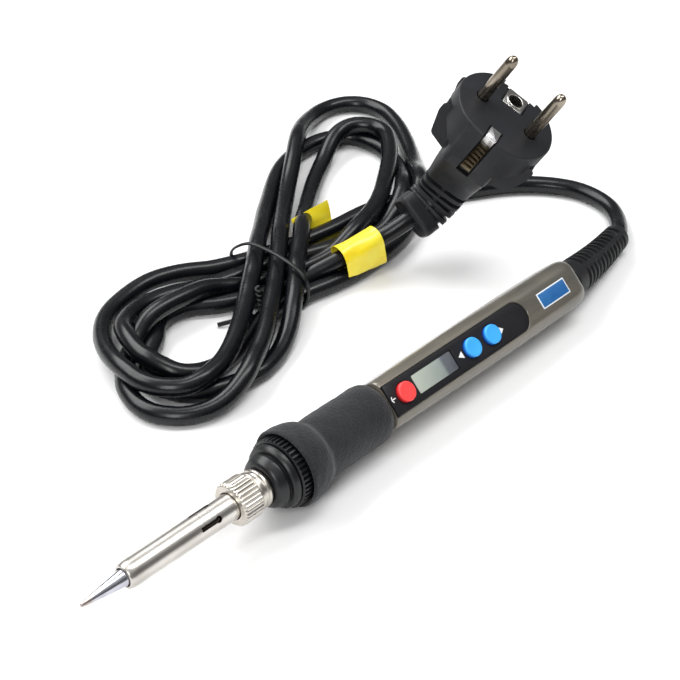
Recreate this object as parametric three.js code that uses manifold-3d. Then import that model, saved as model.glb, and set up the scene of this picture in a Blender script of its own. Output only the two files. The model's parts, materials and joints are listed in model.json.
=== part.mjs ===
// Soldering iron with a built-in temperature display, its mains lead and its two-pin plug.
// Millimetres, +Z up. The iron lies along X, its tip towards -X. Its lead is folded up beside it, towards +Y.
import * as THREE from "three";
import { mergeVertices } from "three/addons/utils/BufferGeometryUtils.js";
import Module from "manifold-3d";

const wasm = await Module();
wasm.setup();

// ---- Driving dimensions: the iron, in its own frame ----
// x runs from the tip's point to the rear, and z out of the button panel.
const GAP = 0.3; // clearance between pieces that touch
const ROLL = THREE.MathUtils.degToRad(44); // the iron lies rolled, with its panel facing up and sideways
const TIP_X = -121.4; // the tip's point, in the part's frame
const CONE_END = 15.3;
const TIP_SHANK_R = 3.2;
const TUBE_R = 3.95;
const TUBE_WALL = 0.45;
const TUBE_FRONT = 14.5;
const TUBE_REAR = 59.4;
const SLOT_COUNT = 4;
const SLOT_FRONT = 40;
const SLOT_REAR = 46.4;
const SLOT_WIDTH = 1.2;
const SLOT_ANGLE = THREE.MathUtils.degToRad(-15); // from the panel's normal
const NUT_R = 6.6;
const NUT_THREAD_R = 5;
const NUT_FRONT = 53.6;
const NUT_REAR = 62.3;
const NUT_FLUTES = 26;
const BUSH_RING_R = 5.9;
const BUSH_REAR = 74;
const NOSE_FRONT = 65.4;
const NOSE_REAR = 80;
const RIB_RING_R = 10.7;
const RIB_COUNT = 36;
const GRIP_FRONT = 75;
const GRIP_REAR = 112;
const GRIP_R = 9.4;
const FLANGE_R = 12.1;
const FLANGE_END = 85.5;
const SPIGOT_R = 7.1;
const HOUSING_FRONT = 112.4;
const HOUSING_REAR = 203.3;
const HOUSING_HALF_W = 8.2;
const HOUSING_HALF_H = 8.4;
const HOUSING_CORNER = 4.6;
const HOUSING_WALL = 1.5;
const PANEL_TOP = 8.25;
const PANEL_HALF_W = 4.95;
const PANEL_FRONT = 112.9;
const PANEL_REAR = 175.7;
const PANEL_THICK = 1.5;
const WINDOW_X = [124.1, 141.4];
const WINDOW_HALF_W = 3;
const BUTTON_R = 3.1;
const BUTTON_RISE = 1.5; // cap above the panel
const BUTTON_TRAVEL = 0.6;
const BUTTON_X = { power: 119.3, down: 149.4, up: 158.6 };
const BOARD_TOP = 2.4;
const BOARD_THICK = 1.6;
const BOOT_LENGTH = 39.3;
const BOOT_BASE_R = 6.4;
const BOOT_END_R = 4.3;
const BOOT_RIBS = 11;
const BOOT_YAW = THREE.MathUtils.degToRad(10.5); // the boot bends towards the lead
const BOOT_PITCH = THREE.MathUtils.degToRad(4.8); // and down to the bench

// ---- Driving dimensions: the lead and plug, in the part's frame ----
const CORD_R = 3;
const CORD_SIDES = 10;
const HANK_HEIGHT = 14;
const PIN_R = 2;
const PIN_LENGTH = 19;
const PIN_SPACING = 19;
const PLUG_FACE = new THREE.Vector3(85, 29.5, 58.4); // the centre of the plug's face
const PLUG_AXIS = new THREE.Vector3(0.174, -0.506, 0.845).normalize(); // the way the pins point
const PLUG_ACROSS = new THREE.Vector3(0.304, -0.789, -0.535); // from pin 1 to pin 2
const PLUG_HALF_W = 17.5;
const PLUG_HALF_H = 15.4;
const PLUG_RIM = 12.5; // depth of the full-width head behind the face
const PLUG_HEAD = 17; // depth of the block under it
const PLUG_RIGID = 34; // depth of the stiff body
const EARTH_HOLE_R = 2.8;
const CLIP_Y = 14.5; // where the earth clip runs down the plug's side
const GRIP_HALF_SPAN = 8.6;

// The lead from the boot's end to the hank, and from the hank to the plug's neck.
const LEAD_START = new THREE.Vector3(121.5, 7.3, 5.6);
const LEAD_ROUTE = [
  [125.5, 9, 4.6], [130.5, 13, 3.6], [134.5, 19, 3.1], [136.5, 26, 3.1], [136, 34, 3.1], [133.4, 42, 3.1],
  [129, 49.5, 3.1], [122.6, 56.5, 3.1], [114.5, 62.5, 3.1], [106, 67.4, 3.1],
];
const TAIL_ROUTE = [
  [67.2, 53.4, 16.8], [64.3, 54.2, 15.5], [60.3, 56.7, 13.2], [56, 58.8, 11.3],
  [51, 60.4, 10.1], [45, 61.6, 9.4], [39.9, 62.4, 9.1],
];
const NECK_R = 6.2; // the plug's neck, bent over towards the hank
const NECK_ROUTE = [
  [67.6, 53.3, 17], [73.6, 51.8, 19.6], [77.6, 49.3, 24.2], [79.3, 46.2, 30], [80.5, 42.7, 36.4],
];
const HANK_OUTLINE = [
  [38, 68], [30, 66], [20, 65.4], [11.5, 60], [2, 46.5], [-10, 39], [-24, 38.5], [-38, 40],
  [-47, 48], [-50, 60], [-47, 74], [-40, 88], [-30, 97], [-18, 103], [-4, 103], [7, 95.5],
  [19, 87], [32, 90.5], [52, 106], [74, 122], [94, 135], [110, 143], [126, 144], [136, 136],
  [136, 122], [129, 106], [119, 91], [108, 78], [102, 69.4], [92, 66.4], [76, 67], [58, 67.4],
];
const FLAG_HALF_W = 4.4;
const FLAG_HALF_H = 6.9;
const FLAG_WALL = 0.4;
const FRONT_FLAG = { length: 15, x: 50.5, y: 60.3, z: 8.3, yaw: -0.23, pitch: -0.16 };
const REAR_FLAG = { length: 17, x: 57, y: 82, yaw: -0.03 };
// The rear flag's open fold, as [y, z] down its outer side: under one strand and up behind it.
const REAR_FOLD = [[-8, 0], [1.5, 0], [4.8, 1], [5.7, 3.2], [7.2, 10.6]];
const REAR_FLAG_FALL = 2; // how much lower its back edge ends towards +X
const TIE_CENTRE = [21, 76.6]; // the twist tie crosses the hank's waist here
const TIE_DIRECTION = THREE.MathUtils.degToRad(14);
const TIE_HALF_SPAN = 14;
const TIE_THICK = 1.2;

// ---- Materials ----
function finish(color, roughness, metalness = 0) {
  return new THREE.MeshStandardMaterial({ color, roughness, metalness });
}

const steel = () => finish(0xb9b4ae, 0.3, 1);
const nickel = () => finish(0xd2cfc9, 0.25, 1);
const blackPlastic = () => finish(0x26262b, 0.5);
const cordBlack = () => finish(0x1b1d20, 0.45);

// ---- Geometry helpers ----

// The bare closed surface: shared vertices merged, no collapsed faces, and facing out.
function closed(geometry) {
  const bare = new THREE.BufferGeometry();
  const source = geometry.index ? geometry.toNonIndexed() : geometry;
  bare.setAttribute("position", source.getAttribute("position").clone());
  const merged = mergeVertices(bare, 1e-4);
  const position = merged.getAttribute("position");
  const index = merged.index.array;
  const kept = [];
  const corner = [new THREE.Vector3(), new THREE.Vector3(), new THREE.Vector3()];
  let volume = 0;
  for (let i = 0; i < index.length; i += 3) {
    const [a, b, c] = [index[i], index[i + 1], index[i + 2]];
    if (a === b || b === c || c === a) continue;
    kept.push(a, b, c);
    [a, b, c].forEach((vertex, k) => corner[k].fromBufferAttribute(position, vertex));
    volume += corner[0].dot(corner[1].clone().cross(corner[2]));
  }
  if (volume < 0) {
    for (let i = 0; i < kept.length; i += 3) [kept[i + 1], kept[i + 2]] = [kept[i + 2], kept[i + 1]];
  }
  merged.setIndex(kept);
  return merged;
}

function toSolid(geometry) {
  const clean = closed(geometry);
  const vertProperties = new Float32Array(clean.getAttribute("position").array);
  const triVerts = new Uint32Array(clean.index.array);
  return new wasm.Manifold(new wasm.Mesh({ numProp: 3, vertProperties, triVerts }));
}

function fromSolid(solid) {
  const mesh = solid.getMesh();
  const geometry = new THREE.BufferGeometry();
  geometry.setAttribute("position", new THREE.BufferAttribute(new Float32Array(mesh.vertProperties), 3));
  geometry.setIndex(new THREE.BufferAttribute(new Uint32Array(mesh.triVerts), 1));
  return geometry;
}

const join = (first, ...others) => fromSolid(others.reduce((s, g) => s.add(toSolid(g)), toSolid(first)));
const cut = (first, ...others) => fromSolid(others.reduce((s, g) => s.subtract(toSolid(g)), toSolid(first)));

// A solid of revolution about X, from [x, radius] pairs that start and end on the axis, or close on themselves.
function turned(profile, segments = 28) {
  const points = profile.map(([x, r]) => new THREE.Vector2(r, x));
  return closed(new THREE.LatheGeometry(points, segments).rotateZ(-Math.PI / 2));
}

const rod = (x0, x1, r, segments = 20) => turned([[x0, 0], [x0, r], [x1, r], [x1, 0]], segments);
const pipe = (x0, x1, r, bore, segments = 28) =>
  turned([[x0, bore], [x0, r], [x1, r], [x1, bore], [x0, bore]], segments);

// A box from its lowest to its highest corner.
function block(x0, x1, y0, y1, z0, z1) {
  const box = new THREE.BoxGeometry(x1 - x0, y1 - y0, z1 - z0);
  return box.translate((x0 + x1) / 2, (y0 + y1) / 2, (z0 + z1) / 2);
}

// A round rod along Z.
const post = (x, y, z0, z1, r, segments = 20) =>
  new THREE.CylinderGeometry(r, r, z1 - z0, segments).rotateX(Math.PI / 2).translate(x, y, (z0 + z1) / 2);

// A bar along X with a fluted or toothed round section.
function fluted(x0, x1, outer, root, count) {
  const shape = new THREE.Shape();
  const steps = count * 4;
  for (let i = 0; i < steps; i++) {
    const r = i % 4 < 2 ? outer : root;
    const angle = (i * 2 * Math.PI) / steps;
    shape[i ? "lineTo" : "moveTo"](r * Math.cos(angle), r * Math.sin(angle));
  }
  const bar = new THREE.ExtrudeGeometry(shape, { depth: x1 - x0, bevelEnabled: false });
  return bar.rotateY(Math.PI / 2).translate(x0, 0, 0);
}

// A round cord of radius r through the points, in even steps.
function corded(points, r, steps, sides = CORD_SIDES) {
  const section = new THREE.Shape();
  for (let i = 0; i < sides; i++) {
    const angle = ((i + 0.5) * 2 * Math.PI) / sides;
    section[i ? "lineTo" : "moveTo"](r * Math.cos(angle), r * Math.sin(angle));
  }
  const path = new THREE.CatmullRomCurve3(points.map((p) => new THREE.Vector3(...p)), false, "centripetal");
  return new THREE.ExtrudeGeometry(section, { steps, extrudePath: path, bevelEnabled: false });
}

function named(name, geometry, material) {
  const mesh = new THREE.Mesh(geometry, material);
  mesh.name = name;
  return mesh;
}

// ---- Heating end ----

function solderingTip() {
  const bore = TIP_SHANK_R - 1;
  return turned([
    [0, 0], [0.15, 0.35], [1.6, 0.75], [CONE_END - 0.9, 2.5], [CONE_END, 2.55], [CONE_END + 0.3, TIP_SHANK_R],
    [44, TIP_SHANK_R], [44, bore], [22, bore], [20.5, 0],
  ]);
}

function barrelTube() {
  const bore = TUBE_R - TUBE_WALL;
  const collar = NUT_THREAD_R;
  const lip = 2.8;
  const tube = turned([
    [TUBE_FRONT + 0.3, lip], [TUBE_FRONT, lip + 0.3], [TUBE_FRONT + 0.2, TUBE_R - 0.3],
    [TUBE_FRONT + 0.9, TUBE_R], [TUBE_REAR - 0.8, TUBE_R], [TUBE_REAR - 0.8, collar], [TUBE_REAR, collar],
    [TUBE_REAR, bore], [TUBE_FRONT + 1.1, bore], [TUBE_FRONT + 0.8, lip], [TUBE_FRONT + 0.3, lip],
  ], 32);
  const slots = [];
  for (let i = 0; i < SLOT_COUNT; i++) {
    const angle = SLOT_ANGLE + (i * 2 * Math.PI) / SLOT_COUNT;
    const reach = TUBE_R + 1;
    const slit = block(SLOT_FRONT, SLOT_REAR, -SLOT_WIDTH / 2, SLOT_WIDTH / 2, bore - 1, reach);
    const eye = post(SLOT_REAR, 0, bore - 1, reach, SLOT_WIDTH * 0.7, 12);
    slots.push(slit.rotateX(-angle), eye.rotateX(-angle));
  }
  return cut(tube, ...slots);
}

// The nut holds the tube's collar against the bush, and screws onto the bush behind it.
function knurledNut() {
  const hole = TUBE_R + GAP;
  const seat = TUBE_REAR - 0.8 - GAP;
  const thread = NUT_THREAD_R + GAP;
  const knurl = fluted(NUT_FRONT + 0.6, NUT_REAR, NUT_R, NUT_R - 0.3, NUT_FLUTES);
  const nose = turned([[NUT_FRONT, 0], [NUT_FRONT, 5.3], [NUT_FRONT + 1.1, NUT_R - 0.32], [NUT_FRONT + 1.1, 0]]);
  const hollow = turned([
    [NUT_FRONT - 1, 0], [NUT_FRONT - 1, hole], [seat, hole], [seat, thread],
    [NUT_REAR + 1, thread], [NUT_REAR + 1, 0],
  ]);
  return cut(join(knurl, nose), hollow);
}

// Threaded metal bush fixed in the nose: its ring shows behind the nut.
function threadedBush() {
  const thread = NUT_THREAD_R;
  const bore = 3.4;
  return turned([
    [TUBE_REAR + GAP, bore], [TUBE_REAR + GAP, thread - 0.3], [NUT_REAR + GAP, thread - 0.3],
    [NUT_REAR + GAP, BUSH_RING_R - 0.4], [NUT_REAR + 1.3, BUSH_RING_R - 0.4], [NUT_REAR + 1.6, BUSH_RING_R],
    [NOSE_FRONT - GAP, BUSH_RING_R], [NOSE_FRONT - GAP, 4.6], [BUSH_REAR, 4.6], [BUSH_REAR, bore],
    [TUBE_REAR + GAP, bore],
  ]);
}

function heatingElement() {
  const core = TIP_SHANK_R - 1 - GAP;
  return turned([[23, 0], [23, core - 0.3], [23.4, core], [72, core], [72, 0]], 20);
}

const heaterHolder = () => pipe(66, BUSH_REAR - 0.5, 3.1, TIP_SHANK_R - 1 + 0.05, 20);

// ---- Nose and grip ----

function noseCap() {
  return turned([
    [NOSE_FRONT, 4.9], [NOSE_FRONT, 6.6], [NOSE_FRONT + 0.4, 7.2], [NOSE_FRONT + 1.4, 7.6],
    [NOSE_FRONT + 3.4, 8.2], [NOSE_FRONT + 3.6, 7.8], [NOSE_FRONT + 4.2, 7.8], [NOSE_FRONT + 4.2, 9.2],
    [NOSE_FRONT + 4.7, 9.7], [NOSE_FRONT + 6.4, 9.9], [NOSE_FRONT + 6.4, 6.6], [NOSE_REAR, 6.6],
    [NOSE_REAR, 4.9], [NOSE_FRONT, 4.9],
  ], 36);
}

function ribbedRing() {
  const front = NOSE_FRONT + 6.4 + GAP;
  const teeth = fluted(front, GRIP_FRONT + 1.6, RIB_RING_R, RIB_RING_R - 0.6, RIB_COUNT);
  return cut(teeth, rod(front - 1, GRIP_FRONT + 3, 6.6 + GAP, 28));
}

function foamGrip() {
  const bore = SPIGOT_R + GAP;
  return turned([
    [GRIP_FRONT + 2.2, bore], [GRIP_FRONT + 2.2, 11.1], [GRIP_FRONT + 0.2, 11.3], [GRIP_FRONT, 11.6],
    [GRIP_FRONT + 0.3, FLANGE_R], [GRIP_FRONT + 2.2, FLANGE_R], [GRIP_FRONT + 5.5, FLANGE_R - 0.6],
    [FLANGE_END - 2, FLANGE_R - 1.5], [FLANGE_END - 0.6, GRIP_R + 0.7], [FLANGE_END, GRIP_R],
    [GRIP_REAR - 2.2, GRIP_R], [GRIP_REAR - 0.7, GRIP_R - 0.5], [GRIP_REAR, GRIP_R - 1.5], [GRIP_REAR, bore],
    [GRIP_FRONT + 2.2, bore],
  ], 36);
}

// ---- Housing ----

// How much of the full section the housing has at x: slimmer in front, full in the middle, rounded off behind.
function housingScale(x) {
  const middle = 160;
  const bulge = 1 - 0.055 * ((x - middle) / (middle - HOUSING_FRONT)) ** 2;
  const roundOff = 5.5;
  const past = Math.max(0, x - (HOUSING_REAR - roundOff)) / roundOff;
  return bulge * (0.82 + 0.18 * Math.sqrt(1 - 0.98 * past * past));
}

// A bar along X with the housing's rounded-square section, drawn in by inset all round.
function housingBar(x0, x1, inset, steps) {
  const w = HOUSING_HALF_W - inset;
  const h = HOUSING_HALF_H - inset;
  const r = Math.max(HOUSING_CORNER - inset, 1);
  const shape = new THREE.Shape();
  const centres = [[w - r, h - r], [r - w, h - r], [r - w, r - h], [w - r, r - h]];
  centres.forEach(([y, z], quarter) => {
    shape.absarc(y, z, r, (quarter * Math.PI) / 2, ((quarter + 1) * Math.PI) / 2, false);
  });
  const options = { depth: x1 - x0, steps, bevelEnabled: false, curveSegments: 5 };
  const bar = new THREE.ExtrudeGeometry(shape, options);
  bar.rotateY(Math.PI / 2).rotateX(Math.PI / 2).translate(x0, 0, 0);
  const position = bar.getAttribute("position");
  for (let i = 0; i < position.count; i++) {
    const scale = housingScale(Math.min(Math.max(position.getX(i), HOUSING_FRONT), HOUSING_REAR));
    position.setY(i, position.getY(i) * scale);
    position.setZ(i, position.getZ(i) * scale);
  }
  return bar;
}

// The panel's outline: square in front, half round behind.
function panelPlate(x0, x1, halfWidth, z0, z1) {
  const shape = new THREE.Shape();
  shape.moveTo(x0, -halfWidth);
  shape.lineTo(x1 - halfWidth, -halfWidth);
  shape.absarc(x1 - halfWidth, 0, halfWidth, -Math.PI / 2, Math.PI / 2, false);
  shape.lineTo(x0, halfWidth);
  const options = { depth: z1 - z0, bevelEnabled: false, curveSegments: 10 };
  return new THREE.ExtrudeGeometry(shape, options).translate(0, 0, z0);
}

function housingShell() {
  const spigot = rod(NOSE_REAR + GAP, HOUSING_FRONT + 3, SPIGOT_R, 28);
  const body = join(housingBar(HOUSING_FRONT, HOUSING_REAR, 0, 16), spigot);
  const cavity = housingBar(HOUSING_FRONT + 2, HOUSING_REAR - 3, HOUSING_WALL, 14);
  const throat = rod(NOSE_REAR - 2, HOUSING_FRONT + 4, SPIGOT_R - 1.4, 24);
  const rearHole = rod(HOUSING_REAR - 6, HOUSING_REAR + 2, 4.9, 24);
  const floor = PANEL_TOP - PANEL_THICK - GAP;
  const pocket = panelPlate(PANEL_FRONT - GAP, PANEL_REAR + GAP, PANEL_HALF_W + GAP, floor, floor + 6);
  return cut(body, cavity, throat, rearHole, pocket);
}

function controlPanel() {
  const plate = panelPlate(PANEL_FRONT, PANEL_REAR, PANEL_HALF_W, PANEL_TOP - PANEL_THICK, PANEL_TOP);
  const holes = Object.values(BUTTON_X).map((x) => post(x, 0, 5, 10, BUTTON_R + GAP, 24));
  const [x0, x1] = WINDOW_X;
  const opening = block(x0 - GAP, x1 + GAP, -WINDOW_HALF_W - GAP, WINDOW_HALF_W + GAP, 5, 10);
  return cut(plate, opening, ...holes);
}

const lcdWindow = () => block(...WINDOW_X, -WINDOW_HALF_W, WINDOW_HALF_W, PANEL_TOP - 1.1, PANEL_TOP - 0.1);
const circuitBoard = () => block(114.6, 190, -5.2, 5.2, BOARD_TOP - BOARD_THICK, BOARD_TOP);

function lcdModule() {
  const halfWidth = WINDOW_HALF_W + 1.2;
  const top = PANEL_TOP - PANEL_THICK - GAP;
  return block(WINDOW_X[0] - 1, WINDOW_X[1] + 1, -halfWidth, halfWidth, BOARD_TOP + GAP, top);
}

// A key cap with a retaining flange under the panel.
function buttonCap(x) {
  const flangeTop = PANEL_TOP - PANEL_THICK - GAP - 0.1;
  const flangeBottom = flangeTop - 0.8;
  const cap = post(x, 0, flangeTop - 0.2, PANEL_TOP + BUTTON_RISE, BUTTON_R, 24);
  return join(cap, post(x, 0, flangeBottom, flangeTop, BUTTON_R + 0.7, 24));
}

// The key switch under a cap, with room for the cap's travel.
function keySwitch(x) {
  const top = PANEL_TOP - PANEL_THICK - GAP - 0.9 - BUTTON_TRAVEL - 0.2;
  const plunger = post(x, 0, top - 1, top, 1.1, 12);
  return join(block(x - 2.2, x + 2.2, -2.2, 2.2, BOARD_TOP + GAP, top - 0.8), plunger);
}

// ---- What the housing holds ----
const powerTriac = () => block(166, 174, -3.4, 3.4, BOARD_TOP + GAP, BOARD_TOP + 3.2);
const filterCapacitor = () => block(176, 185, -4.6, 4.6, -4.4, BOARD_TOP - BOARD_THICK - GAP);
const controllerChip = () => block(128, 136, -2.6, 2.6, -1.1, BOARD_TOP - BOARD_THICK - GAP);
const WIRE_R = 0.6;
const MAINS_WIRE_R = 0.7;

function heaterLead(side) {
  const route = [[76, 1.3 * side, 0], [90, 1.6 * side, -0.6], [104, 2 * side, -2.6], [118, 2.6 * side, -2.6]];
  return corded(route, WIRE_R, 8, 8);
}

function earthLead() {
  const route = [
    [BUSH_REAR + 0.6, 0, -4], [90, 0, -4.6], [112, 0, -4.6], [124, 0, -5.4], [186, 0, -5.4], [193.4, 0, -3.4],
  ];
  return corded(route, WIRE_R, 14, 8);
}

function mainsLead(side) {
  const route = [[187.6, 2.2 * side, -3], [190.5, 2.2 * side, -2], [193.4, 1.7 * side, 0]];
  return corded(route, MAINS_WIRE_R, 5, 8);
}

function cordClamp() {
  const bar = block(194, 197.4, -5, 5, -5.2, 5.2);
  return cut(bar, rod(193, 198, 2.4, 16));
}

// ---- Strain relief: straight neck in the housing's hole, then a ribbed boot that bends away ----
function strainRelief() {
  const profile = [[0, 0], [0, BOOT_BASE_R], [5.4, BOOT_BASE_R - 0.1]];
  const pitch = (BOOT_LENGTH - 5.6 - 1.6) / BOOT_RIBS;
  for (let i = 0; i < BOOT_RIBS; i++) {
    const x = 5.6 + i * pitch;
    const share = i / (BOOT_RIBS - 1);
    const r = THREE.MathUtils.lerp(BOOT_BASE_R - 0.3, BOOT_END_R, share);
    profile.push([x, r - 0.9], [x + pitch * 0.35, r - 0.9], [x + pitch * 0.42, r], [x + pitch * 0.95, r]);
  }
  profile.push([BOOT_LENGTH, BOOT_END_R - 0.4], [BOOT_LENGTH, 0]);
  const boot = turned(profile, 20).rotateY(BOOT_PITCH).rotateZ(BOOT_YAW);
  const seat = rod(-6, 2, 4.5, 20);
  const bed = block(-20, 0, -20, 20, -20, 20);
  return join(cut(boot, bed), seat, rod(0, 2, BOOT_BASE_R - 0.2, 20));
}

// ---- The iron, in its own frame ----
const iron = new THREE.Group();
const rolled = new THREE.Group();
iron.add(rolled);
rolled.rotation.x = ROLL;
rolled.add(
  named("soldering_tip", solderingTip(), finish(0xb5aca3, 0.35, 1)),
  named("barrel_tube", barrelTube(), steel()),
  named("knurled_nut", knurledNut(), nickel()),
  named("threaded_bush", threadedBush(), nickel()),
  named("heating_element", heatingElement(), finish(0xe8e4dc, 0.7)),
  named("heater_holder", heaterHolder(), finish(0xd8d2c4, 0.8)),
  named("nose_cap", noseCap(), blackPlastic()),
  named("ribbed_ring", ribbedRing(), blackPlastic()),
  named("foam_grip", foamGrip(), finish(0x38393d, 0.95)),
  named("housing_shell", housingShell(), finish(0x6c6962, 0.38, 0.3)),
  named("control_panel", controlPanel(), finish(0x202026, 0.45)),
  named("lcd_window", lcdWindow(), finish(0xa3aaa4, 0.15)),
  named("lcd_module", lcdModule(), finish(0x8d968f, 0.4)),
  named("circuit_board", circuitBoard(), finish(0x1f5c3a, 0.6)),
  named("power_button", buttonCap(BUTTON_X.power), finish(0xf04040, 0.4)),
  named("down_button", buttonCap(BUTTON_X.down), finish(0x2f9ae8, 0.4)),
  named("up_button", buttonCap(BUTTON_X.up), finish(0x2f9ae8, 0.4)),
  named("power_switch", keySwitch(BUTTON_X.power), blackPlastic()),
  named("down_switch", keySwitch(BUTTON_X.down), blackPlastic()),
  named("up_switch", keySwitch(BUTTON_X.up), blackPlastic()),
  named("power_triac", powerTriac(), blackPlastic()),
  named("filter_capacitor", filterCapacitor(), finish(0xc9a23a, 0.5)),
  named("controller_chip", controllerChip(), blackPlastic()),
  named("heater_lead_1", heaterLead(-1), finish(0xd8d8d0, 0.6)),
  named("heater_lead_2", heaterLead(1), finish(0xd8d8d0, 0.6)),
  named("earth_lead", earthLead(), finish(0x8fae2e, 0.5)),
  named("mains_lead_1", mainsLead(-1), finish(0x6b3e26, 0.5)),
  named("mains_lead_2", mainsLead(1), finish(0x2b5ea8, 0.5)),
  named("cord_clamp", cordClamp(), blackPlastic()),
  named("blue_label", block(182.6, 196.2, -2.65, 2.65, 8.36, 8.56), finish(0x1e5f9e, 0.35)),
);

// The iron lies on its grip's flange in front and on the housing's edge behind.
function lieTilt() {
  const flangeX = GRIP_FRONT + 1.5;
  let slope = Infinity;
  for (let x = HOUSING_FRONT; x <= HOUSING_REAR; x += 1) {
    const scale = housingScale(x);
    const w = (HOUSING_HALF_W - HOUSING_CORNER) * Math.sin(ROLL);
    const h = (HOUSING_HALF_H - HOUSING_CORNER) * Math.cos(ROLL);
    const reach = (w + h + HOUSING_CORNER) * scale;
    slope = Math.min(slope, (FLANGE_R - reach) / (x - flangeX));
  }
  return Math.atan(slope);
}

const boot = named("strain_relief", strainRelief(), finish(0x222327, 0.6));
boot.position.x = HOUSING_REAR + GAP;
iron.add(boot);
iron.rotation.y = lieTilt();
iron.position.set(TIP_X, 0, FLANGE_R / Math.cos(lieTilt()) + (GRIP_FRONT + 1.5) * Math.tan(lieTilt()));

// ---- The plug, in its own frame: z out of its face, x from pin 1 to pin 2 ----

function plugOutline(halfWidth, halfHeight, z0, z1) {
  const corner = Math.asin(halfHeight / halfWidth);
  const shape = new THREE.Shape();
  shape.absarc(0, 0, halfWidth, -corner, corner, false);
  shape.absarc(0, 0, halfWidth, Math.PI - corner, Math.PI + corner, false);
  const options = { depth: z1 - z0, bevelEnabled: false, curveSegments: 8 };
  return new THREE.ExtrudeGeometry(shape, options).translate(0, 0, z0);
}

// The finger grip at one side, under the rim: its upper and lower faces slant inwards and down.
function sideGrip(side) {
  const outline = [[5, -5], [17.2, -5], [17.2, -8.2], [14.8, -16.6], [8.4, -18.8], [5, -18.8]];
  const shape = new THREE.Shape(outline.map(([x, z]) => new THREE.Vector2(side * x, z)));
  const options = { depth: 2 * GRIP_HALF_SPAN, bevelEnabled: false };
  return new THREE.ExtrudeGeometry(shape, options).rotateX(Math.PI / 2).translate(0, GRIP_HALF_SPAN, 0);
}

function plugBody(neck) {
  const head = plugOutline(PLUG_HALF_W, PLUG_HALF_H, -PLUG_RIM, 0);
  const under = block(-8.6, 8.6, -PLUG_HALF_H, PLUG_HALF_H, -PLUG_HEAD, -2);
  const middle = block(-8.8, 8.8, -11.5, 11.5, -26, -PLUG_HEAD + 1);
  const taper = 9;
  const shoulder = new THREE.CylinderGeometry(10.4, 7, taper, 20).rotateX(Math.PI / 2);
  shoulder.translate(0, 0, -PLUG_RIGID + taper / 2);
  const outside = PLUG_HALF_H + 4;
  const sideGroove = block(-2.3, 2.3, -outside, -CLIP_Y + 1.6, -PLUG_HEAD + 0.1, 1);
  const faceGroove = block(-2.5, 2.5, -outside, -9.4, -1.2, 2);
  const socketSeat = block(-4, 4, 5, outside, -1.2, 1);
  const socketHole = post(0, 9, -16, 1, EARTH_HOLE_R + 0.3, 16);
  const pinHoles = [-1, 1].map((side) => post((side * PIN_SPACING) / 2, 0, -8, 1.5, PIN_R + GAP, 16));
  const solid = join(head, under, middle, shoulder, sideGrip(-1), sideGrip(1), neck);
  return cut(solid, sideGroove, faceGroove, socketSeat, socketHole, ...pinHoles);
}

function plugPin(side) {
  const pin = post((side * PIN_SPACING) / 2, 0, -7, PIN_LENGTH - 1, PIN_R, 20);
  const end = new THREE.SphereGeometry(PIN_R, 20, 10).scale(1, 1, 0.6);
  return join(pin, end.translate((side * PIN_SPACING) / 2, 0, PIN_LENGTH - 1.2));
}

// Bent strip: on the plug's face and down its side.
function earthStrip() {
  const foot = block(-1.9, 1.9, -CLIP_Y - 0.4, -9.8, -0.8, -0.1);
  const leg = block(-1.9, 1.9, -CLIP_Y - 0.4, -CLIP_Y + 0.6, -PLUG_HEAD + 0.4, -0.1);
  return join(foot, leg);
}

function earthSocketPlate() {
  const plate = block(-3.7, 3.7, 5.3, 13.4, -0.8, -0.1);
  const sleeve = post(0, 9, -14, -0.2, EARTH_HOLE_R, 16);
  return cut(join(plate, sleeve), post(0, 9, -13, 1, EARTH_HOLE_R - 0.4, 16));
}

const plug = new THREE.Group();
const across = PLUG_ACROSS.clone().addScaledVector(PLUG_AXIS, -PLUG_ACROSS.dot(PLUG_AXIS)).normalize();
const plugUp = PLUG_AXIS.clone().cross(across);
plug.quaternion.setFromRotationMatrix(new THREE.Matrix4().makeBasis(across, plugUp, PLUG_AXIS));
plug.position.copy(PLUG_FACE);
plug.updateMatrixWorld(true);
const neckInPart = corded(NECK_ROUTE, NECK_R, 7, 12);
const neckInPlug = neckInPart.applyMatrix4(plug.matrixWorld.clone().invert());
plug.add(
  named("plug_body", plugBody(neckInPlug), blackPlastic()),
  named("plug_pin_1", plugPin(-1), nickel()),
  named("plug_pin_2", plugPin(1), nickel()),
  named("earth_clip", earthStrip(), nickel()),
  named("earth_socket", earthSocketPlate(), nickel()),
);

// ---- The lead ----

// Outer shape of the folded lead, with a gap in it for the rear flag.
function hank() {
  const shape = new THREE.Shape();
  const outline = HANK_OUTLINE.map(([x, y]) => new THREE.Vector3(x, y, 0));
  const curve = new THREE.CatmullRomCurve3(outline, true, "centripetal");
  const points = curve.getPoints(outline.length * 2).slice(0, -1);
  points.forEach((p, i) => shape[i ? "lineTo" : "moveTo"](p.x, p.y));
  const whole = new THREE.ExtrudeGeometry(shape, { depth: HANK_HEIGHT, bevelEnabled: false });
  const half = REAR_FLAG.length / 2 + GAP;
  const front = REAR_FOLD.at(0)[0] - GAP;
  const back = REAR_FOLD.at(-1)[0] + GAP;
  const gap = block(-half, half, front, back, -1, HANK_HEIGHT + 1);
  return cut(whole, gap.rotateZ(REAR_FLAG.yaw).translate(REAR_FLAG.x, REAR_FLAG.y, 0));
}

// A section drawn in Y and Z, extruded along X and centred on the origin.
function alongX(shape, length) {
  const bar = new THREE.ExtrudeGeometry(shape, { depth: length, bevelEnabled: false });
  return bar.rotateY(Math.PI / 2).rotateX(Math.PI / 2).translate(-length / 2, 0, 0);
}

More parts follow.
